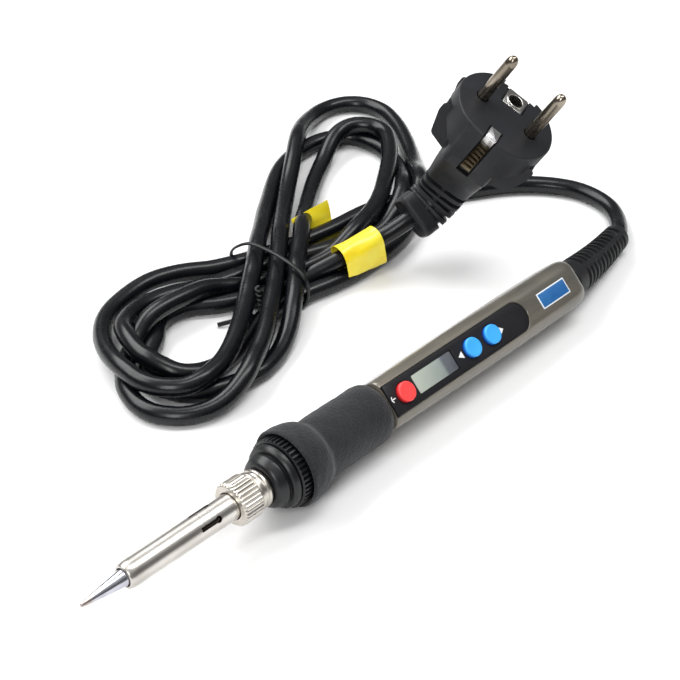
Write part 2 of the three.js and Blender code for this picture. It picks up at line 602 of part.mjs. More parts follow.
// The front flag is wrapped round two strands, one over the other: a tall oval sleeve.
function frontFlag() {
  const { length, x, y, z, yaw, pitch } = FRONT_FLAG;
  const upright = FLAG_HALF_H - FLAG_HALF_W;
  const oval = (r) => {
    const path = new THREE.Path();
    path.absarc(0, upright, r, 0, Math.PI, false);
    path.absarc(0, -upright, r, Math.PI, 2 * Math.PI, false);
    return path.getPoints(8);
  };
  const shape = new THREE.Shape(oval(FLAG_HALF_W));
  shape.holes.push(new THREE.Path(oval(FLAG_HALF_W - FLAG_WALL)));
  return alongX(shape, length).rotateY(pitch).rotateZ(yaw).translate(x, y, z);
}

// The rear flag has come open: a fold of paper whose back edge slopes down towards +X.
function rearFlag() {
  const { length, x, y, yaw } = REAR_FLAG;
  const inner = REAR_FOLD.map(([a, b], i) => (i < 2 ? [a, b + FLAG_WALL] : [a - FLAG_WALL, b + FLAG_WALL / 2]));
  const outline = [...REAR_FOLD, ...inner.reverse()];
  const fold = alongX(new THREE.Shape(outline.map(([a, b]) => new THREE.Vector2(a, b))), length);
  const top = REAR_FOLD.at(-1)[1];
  const slope = Math.atan(REAR_FLAG_FALL / length);
  const above = block(0, 3 * length, -20, 20, 0, 20).translate(-length, 0, 0).rotateY(slope);
  return cut(fold, above.translate(0, 0, top - REAR_FLAG_FALL / 2)).rotateZ(yaw).translate(x, y, 0);
}

// The tie goes over the hank's waist like a staple, with its twisted end on top.
function twistTie() {
  const top = HANK_HEIGHT + GAP;
  const reach = TIE_HALF_SPAN + TIE_THICK;
  const outer = block(-1.5, 1.5, -reach, reach, 0.4, top + TIE_THICK);
  const inner = block(-3, 3, -TIE_HALF_SPAN, TIE_HALF_SPAN, -1, top);
  const twist = block(-1, 1, -4, 4, top + 1, top + 3);
  return join(cut(outer, inner), twist);
}

const lead = new THREE.Group();
const tie = named("twist_tie", twistTie(), finish(0x17181a, 0.6));
tie.position.set(...TIE_CENTRE, 0);
tie.rotation.z = TIE_DIRECTION;
lead.add(
  named("cord_lead", corded([LEAD_START.toArray(), ...LEAD_ROUTE], CORD_R, 18), cordBlack()),
  named("cord_hank", hank(), cordBlack()),
  named("cord_tail", corded(TAIL_ROUTE, CORD_R, 5), cordBlack()),
  tie,
  named("front_flag", frontFlag(), finish(0xf2e01c, 0.6)),
  named("rear_flag", rearFlag(), finish(0xf2e01c, 0.6)),
);

const root = new THREE.Group();
root.add(iron, plug, lead);

export default root;
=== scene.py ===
"""Looks of the soldering iron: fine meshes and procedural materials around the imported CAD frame.

Points are given in millimetres and meshes are built in metres, in one of three frames. The iron's has
x from the tip's point to the rear and z out of the button panel. The plug's has z along its pins. The
third is the part's own.
"""

import json
import math

import bmesh
import bpy
import numpy as np
from mathutils import Matrix, Vector


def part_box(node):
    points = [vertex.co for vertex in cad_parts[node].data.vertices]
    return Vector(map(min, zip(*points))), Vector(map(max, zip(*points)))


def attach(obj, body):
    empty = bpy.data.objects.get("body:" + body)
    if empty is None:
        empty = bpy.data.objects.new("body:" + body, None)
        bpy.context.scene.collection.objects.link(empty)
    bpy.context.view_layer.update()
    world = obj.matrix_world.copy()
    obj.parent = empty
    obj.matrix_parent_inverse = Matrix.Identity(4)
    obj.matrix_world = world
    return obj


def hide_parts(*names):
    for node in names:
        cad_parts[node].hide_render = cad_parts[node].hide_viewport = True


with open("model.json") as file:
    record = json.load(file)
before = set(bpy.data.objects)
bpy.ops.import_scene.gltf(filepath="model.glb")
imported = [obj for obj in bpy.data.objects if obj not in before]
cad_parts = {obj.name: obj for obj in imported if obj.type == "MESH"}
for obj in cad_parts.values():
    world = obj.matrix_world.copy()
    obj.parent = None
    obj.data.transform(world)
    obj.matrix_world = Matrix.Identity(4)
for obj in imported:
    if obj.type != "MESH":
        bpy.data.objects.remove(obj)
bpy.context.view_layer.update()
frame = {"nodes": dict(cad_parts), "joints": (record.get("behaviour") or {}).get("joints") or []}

MM = 0.001
TAU = 2 * math.pi

# ---- Places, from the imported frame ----
joints = {j["name"]: j for j in frame["joints"]}
forward = Vector(joints["barrel_slide"]["axis"])
panel_normal = -Vector(joints["power_press"]["axis"])
on_axis = Vector(joints["nut_turn"]["pos_m"])
tip_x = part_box("soldering_tip")[0].x
tip_point = on_axis + forward * ((tip_x - on_axis.x) / forward.x)


def frame_matrix(origin, x_axis, z_axis):
    """The turn and place of a local frame, from its origin in metres and two of its axes."""
    x = x_axis.normalized()
    z = (z_axis - x * z_axis.dot(x)).normalized()
    y = z.cross(x)
    turn = Matrix((x, y, z)).transposed().to_4x4()
    return Matrix.Translation(origin) @ turn


IRON = frame_matrix(tip_point, -forward, panel_normal)
PLUG_FACE = Vector((85, 29.5, 58.4)) * MM
PLUG_AXIS = Vector((0.174, -0.506, 0.845)).normalized()
PLUG_ACROSS = Vector((0.304, -0.789, -0.535))
across = PLUG_ACROSS - PLUG_AXIS * PLUG_ACROSS.dot(PLUG_AXIS)
PLUG = frame_matrix(PLUG_FACE, across, PLUG_AXIS)
PART = Matrix.Identity(4)

# ---- Camera ----
VIEW_TARGET = Vector((0.0202, 0.0407, 0))
VIEW_AZIMUTH = math.radians(-47.14)
VIEW_ELEVATION = math.radians(37)
VIEW_DISTANCE = 0.6
VIEW_LENS = 100.6


def add_camera():
    flat = math.cos(VIEW_ELEVATION)
    back = Vector((math.sin(VIEW_AZIMUTH) * flat, -math.cos(VIEW_AZIMUTH) * flat, math.sin(VIEW_ELEVATION)))
    data = bpy.data.cameras.new("camera")
    data.lens = VIEW_LENS
    data.sensor_width = 36
    data.clip_start = 0.01
    camera = bpy.data.objects.new("camera", data)
    bpy.context.scene.collection.objects.link(camera)
    camera.location = VIEW_TARGET + back * VIEW_DISTANCE
    camera.rotation_mode = "QUATERNION"
    camera.rotation_quaternion = (-back).to_track_quat("-Z", "Y")
    bpy.context.scene.camera = camera


add_camera()

# ---- Mesh helpers ----


def mesh_of(name, points, faces):
    """A mesh in metres from points in millimetres."""
    mesh = bpy.data.meshes.new(name)
    mesh.from_pydata([tuple(float(c) * MM for c in p) for p in points], [], faces)
    mesh.validate()
    return mesh


def loose(name, mesh):
    obj = bpy.data.objects.new(name, mesh)
    bpy.context.scene.collection.objects.link(obj)
    return obj


def soften(mesh, angle=38):
    """Smooth shading, with edges sharper than the angle kept sharp."""
    mesh.shade_smooth()
    mesh.set_sharp_from_angle(angle=math.radians(angle))


def piece(name, mesh, matrix, body, material, replaces=(), angle=38):
    """A finished piece in a local frame, riding on a body."""
    obj = loose(name, mesh)
    obj.matrix_world = matrix
    soften(mesh, angle)
    mesh.materials.clear()
    mesh.materials.append(material)
    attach(obj, body)
    if replaces:
        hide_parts(*replaces)
    return obj


def joined(name, *meshes):
    """Several meshes as one."""
    points, faces = [], []
    for mesh in meshes:
        start = len(points)
        points += [tuple(c / MM for c in v.co) for v in mesh.vertices]
        faces += [tuple(i + start for i in p.vertices) for p in mesh.polygons]
    return mesh_of(name, points, faces)


def boolean(mesh, cutters, operation="DIFFERENCE"):
    """The mesh cut by, or joined to, others."""
    base = loose("work", mesh)
    tools = []
    for k, cutter in enumerate(cutters):
        tool = loose(f"tool_{k}", cutter)
        tools.append(tool)
        modifier = base.modifiers.new(f"cut_{k}", "BOOLEAN")
        modifier.object = tool
        modifier.operation = operation
        modifier.solver = "MANIFOLD"
    bpy.context.view_layer.update()
    result = bpy.data.meshes.new_from_object(base.evaluated_get(bpy.context.evaluated_depsgraph_get()))
    for obj in [base, *tools]:
        bpy.data.objects.remove(obj)
    return result


def modified(mesh, kind, **settings):
    """The mesh with one modifier applied."""
    base = loose("work", mesh)
    modifier = base.modifiers.new("change", kind)
    for key, value in settings.items():
        setattr(modifier, key, value)
    bpy.context.view_layer.update()
    result = bpy.data.meshes.new_from_object(base.evaluated_get(bpy.context.evaluated_depsgraph_get()))
    bpy.data.objects.remove(base)
    return result


def rounded(points, radius, steps=4, closed=False):
    """A polyline with its corners rounded. A point may carry its own radius as a third value."""
    count = len(points)
    out = []
    for i, point in enumerate(points):
        here = np.array(point[:2], float)
        r = point[2] if len(point) > 2 else radius
        if not closed and i in (0, count - 1) or r <= 0:
            out.append(tuple(here))
            continue
        before = np.array(points[i - 1][:2], float)
        after = np.array(points[(i + 1) % count][:2], float)
        to_before = before - here
        to_after = after - here
        size_before = np.linalg.norm(to_before)
        size_after = np.linalg.norm(to_after)
        reach_before = here + to_before / size_before * min(r, 0.45 * size_before)
        reach_after = here + to_after / size_after * min(r, 0.45 * size_after)
        for k in range(steps + 1):
            t = k / steps
            place = (1 - t) ** 2 * reach_before + 2 * t * (1 - t) * here + t * t * reach_after
            out.append(tuple(place))
    return out


def ring_faces(first, second, size):
    return [(first + k, first + (k + 1) % size, second + (k + 1) % size, second + k) for k in range(size)]


def turned(name, profile, segments=96, closed=False, shape=None):
    """A solid of revolution about X from (x, radius) pairs; shape(x, radius, angle) may change the radius."""
    points, faces, rings = [], [], []
    for x, r in profile:
        if r < 1e-6:
            rings.append((len(points), 1))
            points.append((x, 0, 0))
            continue
        rings.append((len(points), segments))
        for k in range(segments):
            angle = TAU * k / segments
            radius = shape(x, r, angle) if shape else r
            points.append((x, radius * math.cos(angle), radius * math.sin(angle)))
    pairs = list(zip(rings, rings[1:]))
    if closed:
        pairs.append((rings[-1], rings[0]))
    for (a, size_a), (b, size_b) in pairs:
        if size_a == 1 and size_b == 1:
            continue
        if size_a == 1:
            faces += [(a, b + (k + 1) % segments, b + k) for k in range(segments)]
        elif size_b == 1:
            faces += [(b, a + k, a + (k + 1) % segments) for k in range(segments)]
        else:
            faces += ring_faces(a, b, segments)
    mesh = mesh_of(name, points, faces)
    return outward(mesh)


def outward(mesh):
    """The mesh with its faces turned outwards."""
    work = bmesh.new()
    work.from_mesh(mesh)
    bmesh.ops.recalc_face_normals(work, faces=work.faces)
    work.to_mesh(mesh)
    work.free()
    return mesh


def slab(name, outline, z0, z1, edge=0.0, steps=3, top=None):
    """An upright prism over an outline, with rounded top and bottom edges. top(x, y) may bend it."""
    outline = np.array(outline, float)
    count = len(outline)
    before = np.roll(outline, 1, axis=0)
    after = np.roll(outline, -1, axis=0)
    along = after - before
    normal = np.stack([along[:, 1], -along[:, 0]], axis=1)
    normal /= np.linalg.norm(normal, axis=1)[:, None]
    levels = []
    if edge > 0:
        for k in range(steps + 1):
            turn = math.pi / 2 * k / steps
            levels.append((z0 + edge * (1 - math.sin(turn)), edge * (1 - math.cos(turn))))
        levels = levels[::-1]
        levels += [(z1 - (z - z0), inset) for z, inset in levels[::-1]]
    else:
        levels = [(z0, 0.0), (z1, 0.0)]
    points, faces = [], []
    for z, inset in levels:
        for (x, y), (nx, ny) in zip(outline, normal):
            lift = top(x, y) if top else 0.0
            points.append((x - nx * inset, y - ny * inset, z + lift))
    for level in range(len(levels) - 1):
        faces += ring_faces(level * count, (level + 1) * count, count)
    faces.append(tuple(range(count))[::-1])
    last = (len(levels) - 1) * count
    faces.append(tuple(range(last, last + count)))
    return outward(mesh_of(name, points, faces))


def rectangle(x0, x1, y0, y1, radius=0.4, steps=5):
    return rounded([(x0, y0), (x1, y0), (x1, y1), (x0, y1)], radius, steps, closed=True)


def circle(x, y, r, count=48):
    return [(x + r * math.cos(TAU * k / count), y + r * math.sin(TAU * k / count)) for k in range(count)]


ON_SIDE = Matrix.Rotation(math.radians(90), 4, "X")  # lays a prism down, its z along -Y
UPRIGHT = Matrix.Rotation(math.radians(-90), 4, "Y")  # stands a turned solid up, its x along Z


def moved(mesh, matrix):
    """The mesh moved by a matrix whose translation is in millimetres."""
    shift = matrix.copy()
    shift.translation = matrix.translation * MM
    mesh.transform(shift)
    return mesh


def between(first, second, low, high, at):
    """The point at a knot value, on the line through two points with the knots low and high."""
    return (high - at) / (high - low) * first + (at - low) / (high - low) * second


def spline(points, step):
    """Even points, step apart, on a centripetal Catmull-Rom curve through the given ones."""
    given = np.array(points, float)
    ends = np.vstack([2 * given[0] - given[1], given, 2 * given[-1] - given[-2]])
    fine = []
    for i in range(1, len(ends) - 2):
        p = ends[i - 1:i + 3]
        t = np.concatenate([[0], np.cumsum(np.sqrt(np.linalg.norm(np.diff(p, axis=0), axis=1)))])
        for at in np.linspace(t[1], t[2], 16, endpoint=False):
            a = [between(p[k], p[k + 1], t[k], t[k + 1], at) for k in range(3)]
            b = [between(a[k], a[k + 1], t[k], t[k + 2], at) for k in range(2)]
            fine.append(between(b[0], b[1], t[1], t[2], at))
    fine.append(given[-1])
    fine = np.array(fine)
    along = np.concatenate([[0], np.cumsum(np.linalg.norm(np.diff(fine, axis=0), axis=1))])
    at = np.linspace(0, along[-1], max(2, round(along[-1] / step) + 1))
    return np.stack([np.interp(at, along, fine[:, k]) for k in range(3)], axis=1)


def swept(name, path, size, segments=48, first_side=(0, 0, 1)):
    """A closed tube along a path. size(s, angle) gives the section's (side, up) offsets s mm along it."""
    path = np.array(path, float)
    tangent = np.gradient(path, axis=0)
    tangent /= np.linalg.norm(tangent, axis=1)[:, None]
    along = np.concatenate([[0], np.cumsum(np.linalg.norm(np.diff(path, axis=0), axis=1))])
    side = np.array(first_side, float)
    points, faces = [], []
    for place, direction, s in zip(path, tangent, along):
        side = side - direction * side.dot(direction)
        side /= np.linalg.norm(side)
        up = np.cross(direction, side)
        for k in range(segments):
            a, b = size(s, TAU * k / segments)
            points.append(place + side * a + up * b)
    for level in range(len(path) - 1):
        faces += ring_faces(level * segments, (level + 1) * segments, segments)
    faces.append(tuple(range(segments))[::-1])
    last = (len(path) - 1) * segments
    faces.append(tuple(range(last, last + segments)))
    return outward(mesh_of(name, points, faces))


# ---- Material helpers ----


class Nodes:
    """A material's node tree around one Principled shader."""

    def __init__(self, name, **values):
        self.material = bpy.data.materials.new(name)
        self.material.use_nodes = True
        self.tree = self.material.node_tree
        self.shader = self.tree.nodes["Principled BSDF"]
        for key, value in values.items():
            self.shader.inputs[key.replace("_", " ")].default_value = value
        self.place = self.add("ShaderNodeTexCoord").outputs["Object"]

    def add(self, kind, **settings):
        node = self.tree.nodes.new(kind)
        for key, value in settings.items():
            setattr(node, key, value)
        return node

    def link(self, start, end):
        self.tree.links.new(start, end)

    def stretched(self, scale):
        """Object coordinates scaled along each axis."""
        node = self.add("ShaderNodeMapping")
        node.inputs["Scale"].default_value = scale
        self.link(self.place, node.inputs["Vector"])
        return node.outputs["Vector"]

    def noise(self, scale, detail=4.0, roughness=0.55, vector=None, distortion=0.0):
        node = self.add("ShaderNodeTexNoise")
        node.inputs["Scale"].default_value = scale
        node.inputs["Detail"].default_value = detail
        node.inputs["Roughness"].default_value = roughness
        node.inputs["Distortion"].default_value = distortion
        self.link(vector or self.place, node.inputs["Vector"])
        return node.outputs["Fac"]

    def cells(self, scale, feature="F1", vector=None):
        node = self.add("ShaderNodeTexVoronoi", feature=feature)
        node.inputs["Scale"].default_value = scale
        self.link(vector or self.place, node.inputs["Vector"])
        return node.outputs["Distance"]

    def ramp(self, value, stops):
        """Colours along a value: stops are (place, colour or grey)."""
        node = self.add("ShaderNodeValToRGB")
        while len(node.color_ramp.elements) < len(stops):
            node.color_ramp.elements.new(0.5)
        for element, (where, colour) in zip(node.color_ramp.elements, stops):
            element.position = where
            element.color = (*colour, 1) if hasattr(colour, "__len__") else (colour, colour, colour, 1)
        self.link(value, node.inputs["Fac"])
        return node.outputs["Color"]

    def math(self, operation, a, b=0.5):
        node = self.add("ShaderNodeMath", operation=operation)
        for socket, value in zip(node.inputs, (a, b)):
            if isinstance(value, (int, float)):
                socket.default_value = value
            else:
                self.link(value, socket)
        return node.outputs["Value"]

    def spread(self, value, low, high):
        """The value, from 0 to 1, mapped to low to high."""
        node = self.add("ShaderNodeMapRange")
        node.inputs["To Min"].default_value = low
        node.inputs["To Max"].default_value = high
        self.link(value, node.inputs["Value"])
        return node.outputs["Result"]

    def mix(self, factor, first, second):
        node = self.add("ShaderNodeMix", data_type="RGBA")
        for socket, value in ((node.inputs[0], factor), (node.inputs[6], first), (node.inputs[7], second)):
            if isinstance(value, (int, float)):
                socket.default_value = value
            elif isinstance(value, tuple):
                socket.default_value = (*value, 1)
            else:
                self.link(value, socket)
        return node.outputs[2]

    def axis(self, name):
        """One object coordinate, in millimetres."""
        node = self.add("ShaderNodeSeparateXYZ")
        self.link(self.place, node.inputs["Vector"])
        return self.math("MULTIPLY", node.outputs[name], 1 / MM)

    def bump(self, height, strength, distance_mm):
        node = self.add("ShaderNodeBump")
        node.inputs["Strength"].default_value = strength
        node.inputs["Distance"].default_value = distance_mm * MM
        self.link(height, node.inputs["Height"])
        self.link(node.outputs["Normal"], self.shader.inputs["Normal"])

    def colour(self, value):
        self.link(value, self.shader.inputs["Base Color"])

    def roughness(self, value):
        self.link(value, self.shader.inputs["Roughness"])


def srgb(*values):
    """A linear colour from 8-bit display values."""
    return tuple(((c / 255 + 0.055) / 1.055) ** 2.4 if c > 10 else c / 255 / 12.92 for c in values)


def metal(name, colour, dull, low, high, rings=1400.0, bump=0.06):
    """Turned and polished metal: fine rings round X, with patches of handling haze."""
    nodes = Nodes(name, Metallic=1.0)
    haze = nodes.noise(90, 5, 0.6)
    turning = nodes.noise(rings, 2, 0.5, nodes.stretched((1, 0.02, 0.02)))
    nodes.colour(nodes.mix(nodes.ramp(haze, [(0.35, 0.0), (0.75, 1.0)]), srgb(*colour), srgb(*dull)))
    wear = nodes.math("ADD", nodes.math("MULTIPLY", haze, 0.6), nodes.math("MULTIPLY", turning, 0.4))
    nodes.roughness(nodes.spread(wear, low, high))
    nodes.bump(turning, bump, 0.05)
    return nodes.material


def moulded(name, colour, light, roughness, grain=2600.0, bump=0.25, coat=0.0, specular=0.35):
    """Moulded plastic: fine spark-eroded grain, faint flow marks and rubbed patches."""
    nodes = Nodes(name, Coat_Weight=coat, Coat_Roughness=0.25, Specular_IOR_Level=specular)
    grain_height = nodes.noise(grain, 3, 0.6)
    flow = nodes.noise(55, 4, 0.6, distortion=0.6)
    nodes.colour(nodes.mix(nodes.ramp(flow, [(0.35, 0.0), (0.7, 1.0)]), srgb(*colour), srgb(*light)))
    nodes.roughness(nodes.spread(nodes.noise(160, 5), roughness - 0.07, roughness + 0.1))
    nodes.bump(grain_height, bump, 0.04)
    return nodes.material


def foam_material():
    """Closed-cell foam: soft pits of two sizes, painted near black inside as shade, and a few pale specks."""
    nodes = Nodes("grip_foam", Specular_IOR_Level=0.25, Sheen_Weight=0.18, Sheen_Roughness=0.5)
    pits = nodes.cells(1500)
    fine = nodes.noise(3200, 4, 0.7)
    patches = nodes.noise(70, 4, 0.6)
    specks = nodes.ramp(nodes.cells(520), [(0.0, 1.0), (0.085, 1.0), (0.12, 0.0)])
    dark = nodes.mix(nodes.ramp(patches, [(0.3, 0.0), (0.75, 1.0)]), srgb(30, 31, 34), srgb(44, 45, 48))
    # painted shade: the pits' centres, low in the bump relief, are coloured near black
    shaded_pits = nodes.mix(nodes.ramp(pits, [(0.05, 1.0), (0.42, 0.0)]), dark, srgb(15, 15, 17))
    speck_share = nodes.math("MULTIPLY", specks, nodes.ramp(fine, [(0.5, 0.0), (0.75, 0.7)]))
    nodes.colour(nodes.mix(speck_share, shaded_pits, srgb(122, 122, 122)))
    nodes.roughness(nodes.spread(fine, 0.82, 1.0))
    relief = nodes.math("ADD", nodes.math("MULTIPLY", pits, 0.8), nodes.math("MULTIPLY", fine, 0.6))
    nodes.bump(relief, 0.75, 0.22)
    return nodes.material


def housing_material():
    """Smoky clear plastic over a warm metallic coat, with long soft clouds along the handle."""
    nodes = Nodes("housing_plastic", Metallic=0.35, Coat_Weight=0.5, Coat_Roughness=0.18)
    clouds = nodes.noise(60, 4, 0.6, nodes.stretched((0.35, 1, 1)), 0.8)
    streaks = nodes.noise(900, 3, 0.6, nodes.stretched((0.03, 1, 1)))
    flakes = nodes.cells(2400)
    base = nodes.mix(nodes.ramp(clouds, [(0.3, 0.0), (0.72, 1.0)]), srgb(92, 91, 84), srgb(122, 115, 103))
    streaked = nodes.mix(nodes.ramp(streaks, [(0.35, 0.0), (0.8, 0.35)]), base, srgb(74, 74, 70))
    nodes.colour(nodes.mix(nodes.ramp(flakes, [(0.0, 0.35), (0.2, 0.0)]), streaked, srgb(168, 163, 150)))
    nodes.roughness(nodes.spread(nodes.noise(180, 5), 0.26, 0.42))
    nodes.bump(nodes.noise(1500, 3), 0.08, 0.05)
    return nodes.material


KEY_SHADE_TOP = 8.4  # the painted shade on the side fades out over the next millimetre
WINDOW = (124.1, 141.4, 3.0)  # the display's ends and half width


def key_material(name, top, side):
    """Dyed silicone key with painted light and shade: a brighter lit top with paler worn patches, and a
    deeper shaded colour low on its side.
    """
    nodes = Nodes(name, Coat_Weight=0.15, Coat_Roughness=0.4)
    # painted shade: below this height the key takes the darker side colour, a shaded copy of the lit top
    # colour
    share = nodes.spread(nodes.math("SUBTRACT", nodes.axis("Z"), KEY_SHADE_TOP), 0.0, 1.0)
    soft = nodes.noise(260, 4)
    worn = tuple(min(1.0, c * 1.25 + 0.01) for c in top)
    lit = nodes.mix(nodes.ramp(soft, [(0.3, 0.0), (0.8, 0.35)]), top, worn)
    nodes.colour(nodes.mix(share, side, lit))
    nodes.roughness(nodes.spread(soft, 0.38, 0.55))
    nodes.bump(nodes.noise(3000, 3), 0.2, 0.03)
    return nodes.material


def lcd_material():
    """Display glass over a grey-green cell that ends in a darker strip behind."""
    nodes = Nodes("lcd_glass", Coat_Weight=1.0, Coat_Roughness=0.03)
    start, end, _ = WINDOW
    past_edge = nodes.math("SUBTRACT", nodes.axis("X"), start)
    along = nodes.math("DIVIDE", past_edge, end - start)
    cell = nodes.ramp(along, [
        (0.0, srgb(176, 184, 172)), (0.5, srgb(150, 158, 152)), (0.69, srgb(138, 146, 144)),
        (0.76, srgb(88, 92, 102)), (1.0, srgb(66, 68, 78)),
    ])
    cloud = nodes.noise(240, 3)
    nodes.colour(nodes.mix(nodes.ramp(cloud, [(0.3, 0.0), (0.8, 0.12)]), cell, srgb(196, 202, 190)))
    nodes.roughness(nodes.spread(past_edge, 0.3, 0.22))
    nodes.bump(nodes.noise(2200, 2), 0.03, 0.02)
    return nodes.material


def label_material(x0, x1, half):
    """Blue printed label with a white border line."""
    nodes = Nodes("label_blue", Coat_Weight=0.6, Coat_Roughness=0.12)
    x = nodes.axis("X")
    y = nodes.axis("Y")
    from_ends = nodes.math("MINIMUM", nodes.math("SUBTRACT", x, x0), nodes.math("SUBTRACT", x1, x))
    from_sides = nodes.math("SUBTRACT", half, nodes.math("ABSOLUTE", y, 0.0))
    inside = nodes.math("MINIMUM", from_ends, from_sides)
    border = nodes.ramp(inside, [(0.0, 1.0), (0.36, 1.0), (0.44, 0.0)])
    ink = nodes.noise(300, 5, 0.65)
    blue = nodes.mix(nodes.ramp(ink, [(0.3, 0.0), (0.8, 1.0)]), srgb(22, 88, 150), srgb(44, 112, 172))
    nodes.colour(nodes.mix(border, blue, srgb(224, 232, 238)))
    nodes.roughness(nodes.spread(ink, 0.25, 0.4))
    nodes.bump(nodes.noise(1200, 3), 0.08, 0.03)
    return nodes.material


def cord_material():
    """Extruded PVC: satin black with slight waviness and dust."""
    nodes = Nodes("cord_pvc", Coat_Weight=0.1, Coat_Roughness=0.2, Specular_IOR_Level=0.3)
    waves = nodes.noise(140, 4, 0.6)
    dust = nodes.ramp(nodes.cells(900), [(0.0, 1.0), (0.05, 1.0), (0.08, 0.0)])
    black = nodes.mix(nodes.ramp(waves, [(0.3, 0.0), (0.75, 1.0)]), srgb(5, 6, 9), srgb(10, 12, 17))
    nodes.colour(nodes.mix(nodes.math("MULTIPLY", dust, 0.12), black, srgb(90, 92, 96)))
    nodes.roughness(nodes.spread(nodes.noise(420, 5), 0.2, 0.36))
    nodes.bump(nodes.math("ADD", nodes.math("MULTIPLY", waves, 0.7), nodes.noise(2600, 3)), 0.12, 0.05)
    return nodes.material


def paper_material():
    """Glossy yellow label paper with creases painted darker as shade, and rubbed, paler patches."""
    nodes = Nodes(
        "flag_yellow", Coat_Weight=0.45, Coat_Roughness=0.2, Subsurface_Weight=0.05, Subsurface_Scale=0.001,
    )
    rub = nodes.noise(120, 5, 0.6, distortion=0.5)
    crease_and_shade = nodes.noise(210, 2, 0.4, nodes.stretched((0.4, 1, 1)))
    yellow = nodes.mix(nodes.ramp(rub, [(0.35, 0.0), (0.75, 1.0)]), srgb(250, 222, 12), srgb(253, 238, 74))
    # painted shade: the paper turns a darker yellow along the creases
    nodes.colour(nodes.mix(nodes.ramp(crease_and_shade, [(0.25, 0.35), (0.42, 0.0)]), yellow, srgb(214, 176, 10)))
    nodes.roughness(nodes.spread(rub, 0.3, 0.5))
    nodes.bump(nodes.math("ADD", crease_and_shade, nodes.math("MULTIPLY", rub, 0.3)), 0.25, 0.25)
    return nodes.material


CLIP_DEPTH = 16.6  # how far down the plug's side the earth strip reaches


def clip_material():
    """Plated strip: bright where it is folded over the face, dull and brown down in its groove."""
    nodes = Nodes("earth_clip", Metallic=1.0)
    depth = nodes.math("DIVIDE", nodes.math("ADD", nodes.axis("Z"), CLIP_DEPTH), CLIP_DEPTH + 0.2)
    haze = nodes.noise(420, 5, 0.65)
    place = nodes.math("ADD", depth, nodes.math("MULTIPLY", nodes.math("SUBTRACT", haze, 0.5), 0.12))
    nodes.colour(nodes.ramp(place, [
        (0.0, srgb(150, 144, 130)), (0.1, srgb(90, 80, 62)), (0.3, srgb(66, 58, 44)),
        (0.76, srgb(58, 52, 40)), (0.86, srgb(206, 204, 202)), (1.0, srgb(228, 228, 230)),
    ]))
    nodes.roughness(nodes.spread(haze, 0.16, 0.32))
    nodes.bump(nodes.noise(1500, 3), 0.1, 0.05)
    return nodes.material


def board_material():
    """Green solder mask with faint copper tracks."""
    nodes = Nodes("board", Coat_Weight=0.4, Coat_Roughness=0.2)
    tracks = nodes.ramp(nodes.cells(700, "DISTANCE_TO_EDGE"), [(0.02, 1.0), (0.06, 0.0)])
    nodes.colour(nodes.mix(tracks, srgb(22, 82, 52), srgb(46, 122, 74)))
    nodes.roughness(nodes.spread(nodes.noise(400), 0.3, 0.5))
    nodes.bump(tracks, 0.2, 0.05)
    return nodes.material


STEEL = metal("tube_steel", (212, 208, 203), (184, 179, 173), 0.22, 0.35)
NICKEL = metal("nut_nickel", (204, 199, 191), (172, 166, 157), 0.22, 0.36)
PIN = metal("pin_nickel", (158, 149, 136), (112, 103, 90), 0.12, 0.28)
BRIGHT = metal("earth_bright", (214, 212, 208), (176, 172, 166), 0.14, 0.3)
BLACK = moulded("black_plastic", (13, 14, 16), (21, 22, 25), 0.36, coat=0.1)
PANEL = moulded("panel_plastic", (17, 17, 21), (25, 24, 29), 0.42, grain=3400, bump=0.3)
BOOT = moulded("boot_rubber", (13, 14, 16), (22, 23, 26), 0.5, grain=2200, bump=0.3)
PLUG_PVC = moulded("plug_pvc", (21, 22, 26), (31, 32, 37), 0.46, grain=1900, bump=0.35)
TIE = moulded("tie_plastic", (10, 11, 12), (18, 19, 21), 0.4)
WHITE = moulded("mark_white", (228, 228, 228), (242, 242, 242), 0.5, grain=3000, bump=0.1)
CERAMIC = moulded("ceramic", (232, 228, 220), (206, 198, 184), 0.6, grain=2400, bump=0.3)
COMPONENT = moulded("component", (30, 30, 32), (44, 44, 46), 0.5)
CAPACITOR = moulded("capacitor", (196, 150, 44), (214, 172, 66), 0.4)
LCD_CELL = moulded("lcd_cell", (141, 150, 143), (160, 168, 158), 0.35)
WIRE_WHITE = moulded("wire_white", (216, 216, 208), (196, 194, 184), 0.5)
WIRE_EARTH = moulded("wire_earth", (143, 174, 46), (120, 160, 40), 0.45)
WIRE_BROWN = moulded("wire_brown", (107, 62, 38), (88, 50, 30), 0.45)
WIRE_BLUE = moulded("wire_blue", (43, 94, 168), (34, 78, 146), 0.45)
FOAM = foam_material()
HOUSING = housing_material()
CORD = cord_material()
PAPER = paper_material()
BOARD = board_material()

# ---- The lead ----
CORD_D = 6.0
LEAD_EXIT = Vector((0.1206, 0.0071, 0.0053))

